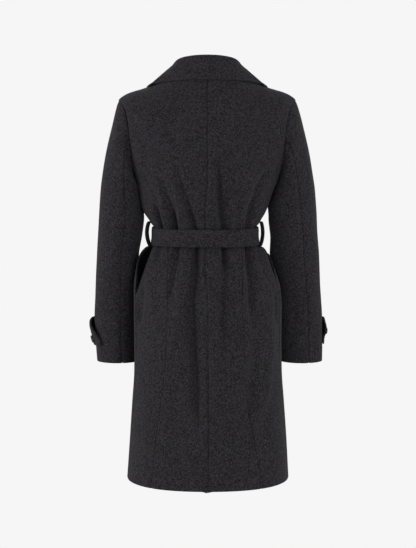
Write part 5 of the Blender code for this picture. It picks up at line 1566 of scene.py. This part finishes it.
def stitch_pattern():
    """One stitch along x, arched along z: five rings of six points and two tips."""
    points, faces = [[-0.5 * STITCH_LENGTH, 0, -0.3]], []
    for f in (-0.38, -0.19, 0.0, 0.19, 0.38):
        thick = THREAD_RADIUS * (1 - (2.1 * f) ** 4 * 0.4)
        rise = 0.34 * (1 - (2 * f) ** 2) - 0.12
        for k in range(6):
            a = math.pi / 3 * k
            points.append([f * STITCH_LENGTH, thick * math.cos(a), rise + thick * math.sin(a)])
    points.append([0.5 * STITCH_LENGTH, 0, -0.3])
    for k in range(6):
        n = (k + 1) % 6
        faces.append([0, 1 + n, 1 + k])
        for a in (1, 7, 13, 19):
            faces.append([a + k, a + n, a + 6 + n, a + 6 + k])
        faces.append([25 + k, 25 + n, 31])
    return np.array(points), faces


STITCH_POINTS, STITCH_FACES = stitch_pattern()


def sew(line, outs):
    """Lay stitches along a line of points on the cloth."""
    run = running_length(line)
    for at in np.arange(STITCH_STEP / 2, run[-1] - STITCH_STEP / 2, STITCH_STEP):
        k = min(int(np.searchsorted(run, at)), len(run) - 1)
        f = (at - run[k - 1]) / max(run[k] - run[k - 1], 1e-6)
        here = blend(line[k - 1], line[k], f)
        along = unit(line[k] - line[k - 1])
        beside = unit(np.cross(unit(outs[k]), along))
        turned = np.stack([along, beside, np.cross(along, beside)])
        thread_points.append(here + STITCH_POINTS @ turned)


def line_in_from(grid, distance, end=-1):
    """A line across a grid's rows, this far in from its first or last column, and the ways out."""
    step = 1 if end == 0 else -1
    line, line_outs = [], []
    for row, outs in zip(grid[:, ::step], -across_grid(grid)[:, ::step]):
        run = running_length(row)
        line.append([np.interp(distance, run, row[:, k]) for k in range(3)])
        line_outs.append([np.interp(distance, run, outs[:, k]) for k in range(3)])
    return np.array(line), np.array(line_outs)


def pointing(outs, line, from_point):
    """The ways, turned to point away from a place inside the coat."""
    middle = len(line) // 2
    return outs if np.dot(outs[middle], line[middle] - from_point) > 0 else -outs


line, outs = line_in_from(collar_outer, COLLAR_STITCH_IN)
sew(line, pointing(outs, line, np.zeros(3)))
for grid in lapel_grids:
    line, outs = line_in_from(grid, COLLAR_STITCH_IN)
    sew(line, pointing(outs, line, UP * -200.0))
for row in BELT_STITCH_ROWS:
    line, outs = (np.concatenate([grid[row], grid[row, :1]]) for grid in (belt_outer, -belt_ways))
    sew(line, outs)
for side, grid in tab_grids.items():
    arm = np.array([side * 215.0, -75.0, -610.0])
    lengthways = grid.transpose(1, 0, 2)
    for chosen, end in ((grid, -1), (lengthways, 0), (lengthways, -1)):
        line, outs = line_in_from(chosen, TAB_STITCH_IN, end)
        sew(line, pointing(outs, line, arm))
for grid in tail_grids:
    for end in (0, -1):
        line, outs = line_in_from(grid, TAIL_STITCH_IN, end)
        outs = pointing(outs, line, np.array([KNOT_X, 0.0, -500.0]))
        sew(line[BELOW_KNOT:], outs[BELOW_KNOT:])

stitch_faces = [
    [number * len(STITCH_POINTS) + k for k in face]
    for number in range(len(thread_points)) for face in STITCH_FACES
]
topstitching = mesh_piece("topstitching", np.concatenate(thread_points) * MM, stitch_faces)
print("stitches:", len(thread_points))

# %% [markdown]
# ## Fuzz
#
# Brushed wool has loose fibres that stand off it and soften its outline. Each is a thin
# three-sided needle, closed at its root and pointed at its tip, leaning with the nap,
# which is brushed down the coat. They are scattered by area over the outer cloth.

# %% Fuzz
FUZZ_COUNT = 15000
FIBRE_LENGTHS, FIBRE_GIRTH, ROOT_DEPTH = (1.0, 2.4), 0.07 * MM, 0.2
FIBRE_SPREAD, NAP_DROOP, LEAST_RISE = 0.5, 0.5, 0.25
NEEDLE_TURNS = (0, 2.094, 4.189)
NEEDLE_FACES = ((0, 2, 1), (0, 1, 3), (1, 2, 3), (2, 0, 3))
chance = np.random.default_rng(41)


def scatter(objects, count):
    """Places on the outer side of the pieces and the ways out there, spread by area."""
    spots, outs, areas = [], [], []
    for obj in objects:
        faces = obj.data.polygons
        half = len(faces) // 2
        for values, word, width in ((spots, "center", 3), (outs, "normal", 3), (areas, "area", 1)):
            of_faces = np.empty(len(faces) * width)
            faces.foreach_get(word, of_faces)
            values.append(of_faces.reshape(-1, width)[:half])
    spots, outs, areas = map(np.concatenate, (spots, outs, areas))
    areas = areas.ravel()
    picked = chance.choice(len(spots), count, p=areas / areas.sum())
    return spots[picked], outs[picked]


fuzzy = [obj for node, obj in pieces.items() if not node.startswith(("cuff_button", "pocket"))]
roots, outs = scatter(fuzzy, FUZZ_COUNT)
lean = unit(outs + chance.normal(0, FIBRE_SPREAD, outs.shape) - UP * NAP_DROOP)
lean += outs * np.maximum(LEAST_RISE - (lean * outs).sum(axis=1, keepdims=True), 0)
beside = unit(np.cross(lean, chance.normal(0, 1, outs.shape)))
third = np.cross(lean, beside)
lengths = chance.uniform(*FIBRE_LENGTHS, (FUZZ_COUNT, 1)) * MM
corners = [
    roots - outs * ROOT_DEPTH * MM + FIBRE_GIRTH * (beside * math.cos(a) + third * math.sin(a))
    for a in NEEDLE_TURNS
]
needle_points = np.stack([*corners, roots + lean * lengths], axis=1).reshape(-1, 3)
starts = np.arange(FUZZ_COUNT)[:, None] * 4
needle_faces = np.concatenate([starts + np.array(face) for face in NEEDLE_FACES])
wool_fuzz = mesh_piece("wool_fuzz", needle_points, needle_faces.tolist())
print("fibres:", FUZZ_COUNT)

# %% [markdown]
# ## Marl wool
#
# The cloth is charcoal wool spun from dark and light fibres, brushed and pressed. Near by
# it is a grey-black mixture with short pale flecks, and its nap catches the light at the
# edges. One node group mixes the fibres' colours from noise of five sizes, another gives
# the nap's height. Both work on the object's own coordinates, so the mixture runs through
# the cloth; only the faint weave follows each piece's flat map. The sheen is set on the
# shader itself.

# %% Node helpers


def new_group(name, inputs, outputs):
    """An empty shader group with named sockets."""
    group = bpy.data.node_groups.new(name, "ShaderNodeTree")
    for kind, word, value in inputs:
        socket = group.interface.new_socket(word, in_out="INPUT", socket_type=kind)
        if value is not None:
            socket.default_value = value
    for kind, word in outputs:
        group.interface.new_socket(word, in_out="OUTPUT", socket_type=kind)
    return group, group.nodes.new("NodeGroupInput"), group.nodes.new("NodeGroupOutput")


def add(tree, kind, **settings):
    node = tree.nodes.new(kind)
    for key, value in settings.items():
        setattr(node, key, value)
    return node


def noise(tree, vector, scale, detail, roughness, distortion=0.0):
    node = add(tree, "ShaderNodeTexNoise")
    words = ("Scale", "Detail", "Roughness", "Distortion")
    for word, value in zip(words, (scale, detail, roughness, distortion)):
        node.inputs[word].default_value = value
    tree.links.new(vector, node.inputs["Vector"])
    return node.outputs["Fac"]


def between(tree, value, low, high):
    """The value stretched so that low becomes 0 and high becomes 1, and kept there."""
    node = add(tree, "ShaderNodeMapRange", interpolation_type="SMOOTHSTEP")
    node.inputs["From Min"].default_value = low
    node.inputs["From Max"].default_value = high
    tree.links.new(value, node.inputs["Value"])
    return node.outputs["Result"]


def mixed(tree, factor, a, b):
    node = add(tree, "ShaderNodeMix", data_type="RGBA")
    for source, socket in ((factor, node.inputs[0]), (a, node.inputs[6]), (b, node.inputs[7])):
        tree.links.new(source, socket)
    return node.outputs[2]


def maths(tree, operation, a, b):
    node = add(tree, "ShaderNodeMath", operation=operation)
    for value, socket in zip((a, b), node.inputs):
        if isinstance(value, (int, float)):
            socket.default_value = value
        else:
            tree.links.new(value, socket)
    return node.outputs[0]


def added(tree, a, b):
    return maths(tree, "ADD", a, b)


def scaled(tree, value, by):
    return maths(tree, "MULTIPLY", value, by)


def new_material(name):
    """A material with its node tree and its shader's inputs."""
    material = bpy.data.materials.new(name)
    material.use_nodes = True
    return material, material.node_tree, material.node_tree.nodes["Principled BSDF"].inputs


print("node helpers ready")

# %% Fibre colours


def marl_group():
    """Dark and light fibres mixed, with pale flecks, from noise of five sizes."""
    group, source, sink = new_group(
        "marl_fibres",
        [
            ("NodeSocketVector", "Place", None),
            ("NodeSocketColor", "Dark", (0.01, 0.01, 0.01, 1)),
            ("NodeSocketColor", "Light", (0.05, 0.05, 0.05, 1)),
            ("NodeSocketColor", "Fleck", (0.2, 0.2, 0.2, 1)),
            ("NodeSocketColor", "Warm", (1.0, 0.965, 0.98, 1)),
            ("NodeSocketColor", "Cool", (0.975, 0.965, 1.02, 1)),
        ],
        [("NodeSocketColor", "Colour")],
    )
    place = source.outputs["Place"]
    heather = noise(group, place, 430, 4.0, 0.75, 0.4)
    cloudy = noise(group, place, 38, 3.0, 0.6)
    specks = noise(group, place, 520, 2.0, 0.6)
    clumps = between(group, noise(group, place, 270, 2.5, 0.7, 0.5), 0.4, 0.6)
    fine = between(group, heather, 0.38, 0.62)
    both = added(group, scaled(group, fine, 0.5), scaled(group, clumps, 0.5))
    light_share = added(group, both, scaled(group, maths(group, "SUBTRACT", cloudy, 0.5), 0.2))
    fleck = scaled(group, between(group, specks, 0.64, 0.74), 0.8)
    fibres = mixed(group, light_share, source.outputs["Dark"], source.outputs["Light"])
    flecked = mixed(group, fleck, fibres, source.outputs["Fleck"])
    hue = between(group, noise(group, place, 26, 2.0, 0.5, 0.8), 0.35, 0.65)
    tint = mixed(group, hue, source.outputs["Warm"], source.outputs["Cool"])
    dyed = add(group, "ShaderNodeMix", data_type="RGBA", blend_type="MULTIPLY")
    dyed.inputs[0].default_value = 1
    group.links.new(flecked, dyed.inputs[6])
    group.links.new(tint, dyed.inputs[7])
    group.links.new(dyed.outputs[2], sink.inputs["Colour"])
    return group


MARL = marl_group()
print("group:", MARL.name)

# %% Nap height


def nap_group():
    """The brushed surface: a faint weave under felted fibres."""
    group, source, sink = new_group(
        "wool_nap",
        [("NodeSocketVector", "Place", None), ("NodeSocketVector", "Weave place", None)],
        [("NodeSocketFloat", "Height")],
    )
    felt = noise(group, source.outputs["Place"], 900, 3.0, 0.7, 0.6)
    tufts = noise(group, source.outputs["Place"], 260, 3.0, 0.65, 0.3)
    lines = add(group, "ShaderNodeTexWave", wave_type="BANDS", bands_direction="DIAGONAL")
    for word, value in (("Scale", 190), ("Distortion", 3.5), ("Detail", 2.0), ("Detail Scale", 2.0)):
        lines.inputs[word].default_value = value
    group.links.new(source.outputs["Weave place"], lines.inputs["Vector"])
    soft = added(group, scaled(group, felt, 0.45), scaled(group, tufts, 0.6))
    total = added(group, soft, scaled(group, lines.outputs["Fac"], 0.12))
    group.links.new(total, sink.inputs["Height"])
    return group


NAP = nap_group()
print("group:", NAP.name)

# %% Wool material


def wool(name, dark, light, fleck, nap):
    """Marl wool with its sheen. nap is the height of its fibres in metres."""
    material, tree, shader = new_material(name)
    spot = add(tree, "ShaderNodeTexCoord")
    sheet = add(tree, "ShaderNodeUVMap", uv_map="cloth")
    fibres = add(tree, "ShaderNodeGroup", node_tree=MARL)
    tree.links.new(spot.outputs["Object"], fibres.inputs["Place"])
    for word, colour in (("Dark", dark), ("Light", light), ("Fleck", fleck)):
        fibres.inputs[word].default_value = (*colour, 1)
    height = add(tree, "ShaderNodeGroup", node_tree=NAP)
    tree.links.new(spot.outputs["Object"], height.inputs["Place"])
    tree.links.new(sheet.outputs["UV"], height.inputs["Weave place"])
    bump = add(tree, "ShaderNodeBump")
    bump.inputs["Strength"].default_value = 0.9
    bump.inputs["Distance"].default_value = nap
    tree.links.new(height.outputs["Height"], bump.inputs["Height"])
    tree.links.new(bump.outputs["Normal"], shader["Normal"])
    tree.links.new(fibres.outputs["Colour"], shader["Base Color"])
    shader["Roughness"].default_value = 0.92
    shader["Specular IOR Level"].default_value = 0.12
    shader["Sheen Weight"].default_value = 0.1
    shader["Sheen Roughness"].default_value = 0.45
    shader["Sheen Tint"].default_value = (0.55, 0.54, 0.58, 1)
    return material


DARK_FIBRE, LIGHT_FIBRE = (0.0026, 0.0025, 0.003), (0.0495, 0.0467, 0.053)
PALE_FLECK = (0.16, 0.153, 0.168)
coat_wool = wool("charcoal_marl", DARK_FIBRE, LIGHT_FIBRE, PALE_FLECK, nap=0.0011)
print("wool:", coat_wool.name)

# %% [markdown]
# ## Button plastic and thread
#
# The buttons are dark moulded plastic: a nearly black body with a slightly brown cloud in
# it and a soft gloss. The thread is twisted polyester, a shade darker than the cloth and
# a little shinier.

# %% Button plastic and thread


def clouded(name, cloud, low, high, dark, light):
    """A material whose colour runs from dark to light where a noise runs from low to high."""
    material, tree, shader = new_material(name)
    place = add(tree, "ShaderNodeTexCoord").outputs["Object"]
    share = between(tree, noise(tree, place, *cloud), low, high)
    colours = []
    for colour in (dark, light):
        node = add(tree, "ShaderNodeRGB")
        node.outputs[0].default_value = (*colour, 1)
        colours.append(node.outputs[0])
    tree.links.new(mixed(tree, share, *colours), shader["Base Color"])
    return material, tree, shader, place


def plastic():
    """Dark plastic, its gloss a little uneven."""
    material, tree, shader, place = clouded(
        "dark_horn_plastic", (140, 3.0, 0.6, 1.2), 0.4, 0.7,
        dark=(0.006, 0.0055, 0.006), light=(0.022, 0.018, 0.016),
    )
    rough = added(tree, scaled(tree, noise(tree, place, 900, 2.0, 0.5), 0.16), 0.26)
    tree.links.new(rough, shader["Roughness"])
    return material


def thread():
    """Twisted thread, a shade darker than the cloth and a little shinier."""
    material, _, shader, _ = clouded(
        "charcoal_thread", (2400, 2.0, 0.6), 0.35, 0.65,
        dark=(0.005, 0.005, 0.006), light=(0.016, 0.015, 0.018),
    )
    shader["Roughness"].default_value = 0.6
    return material


button_plastic, sewing_thread = plastic(), thread()
print("materials:", button_plastic.name, sewing_thread.name)

# %% [markdown]
# ## Finish
#
# Each piece gets its finish, takes its node's place and rides on the coat's one body. The
# size each sheet was cut to before it was sewn is worked out from its own rows, and printed for the
# pieces.

# %% Finish


def cut_size(obj):
    """The cut's width, length and area in metres, from the piece's cloth map and skin."""
    layer = obj.data.uv_layers["cloth"].data
    coords = np.empty(len(layer) * 2, np.float32)
    layer.foreach_get("uv", coords)
    coords = coords.reshape(-1, 2)
    width, length = np.ptp(coords, axis=0)
    area = sum(face.area for face in obj.data.polygons) / 2
    return float(width), float(length), float(min(area, width * length))


for node, piece in pieces.items():
    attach(piece, "root")
    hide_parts(node)
    is_button = node.startswith("cuff_button")
    piece.data.materials.append(button_plastic if is_button else coat_wool)
    if is_button:
        continue
    width, length, area = cut_size(piece)
    print(node, round(width, 3), round(length, 3), round(area, 4))
for piece in (knot_core, knot_band):
    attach(piece, "root")
    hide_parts("belt_knot")
    piece.data.materials.append(coat_wool)
width, length, area = cut_size(knot_band)
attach(topstitching, "root")
topstitching.data.materials.append(sewing_thread)
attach(wool_fuzz, "root")
wool_fuzz.data.materials.append(coat_wool)
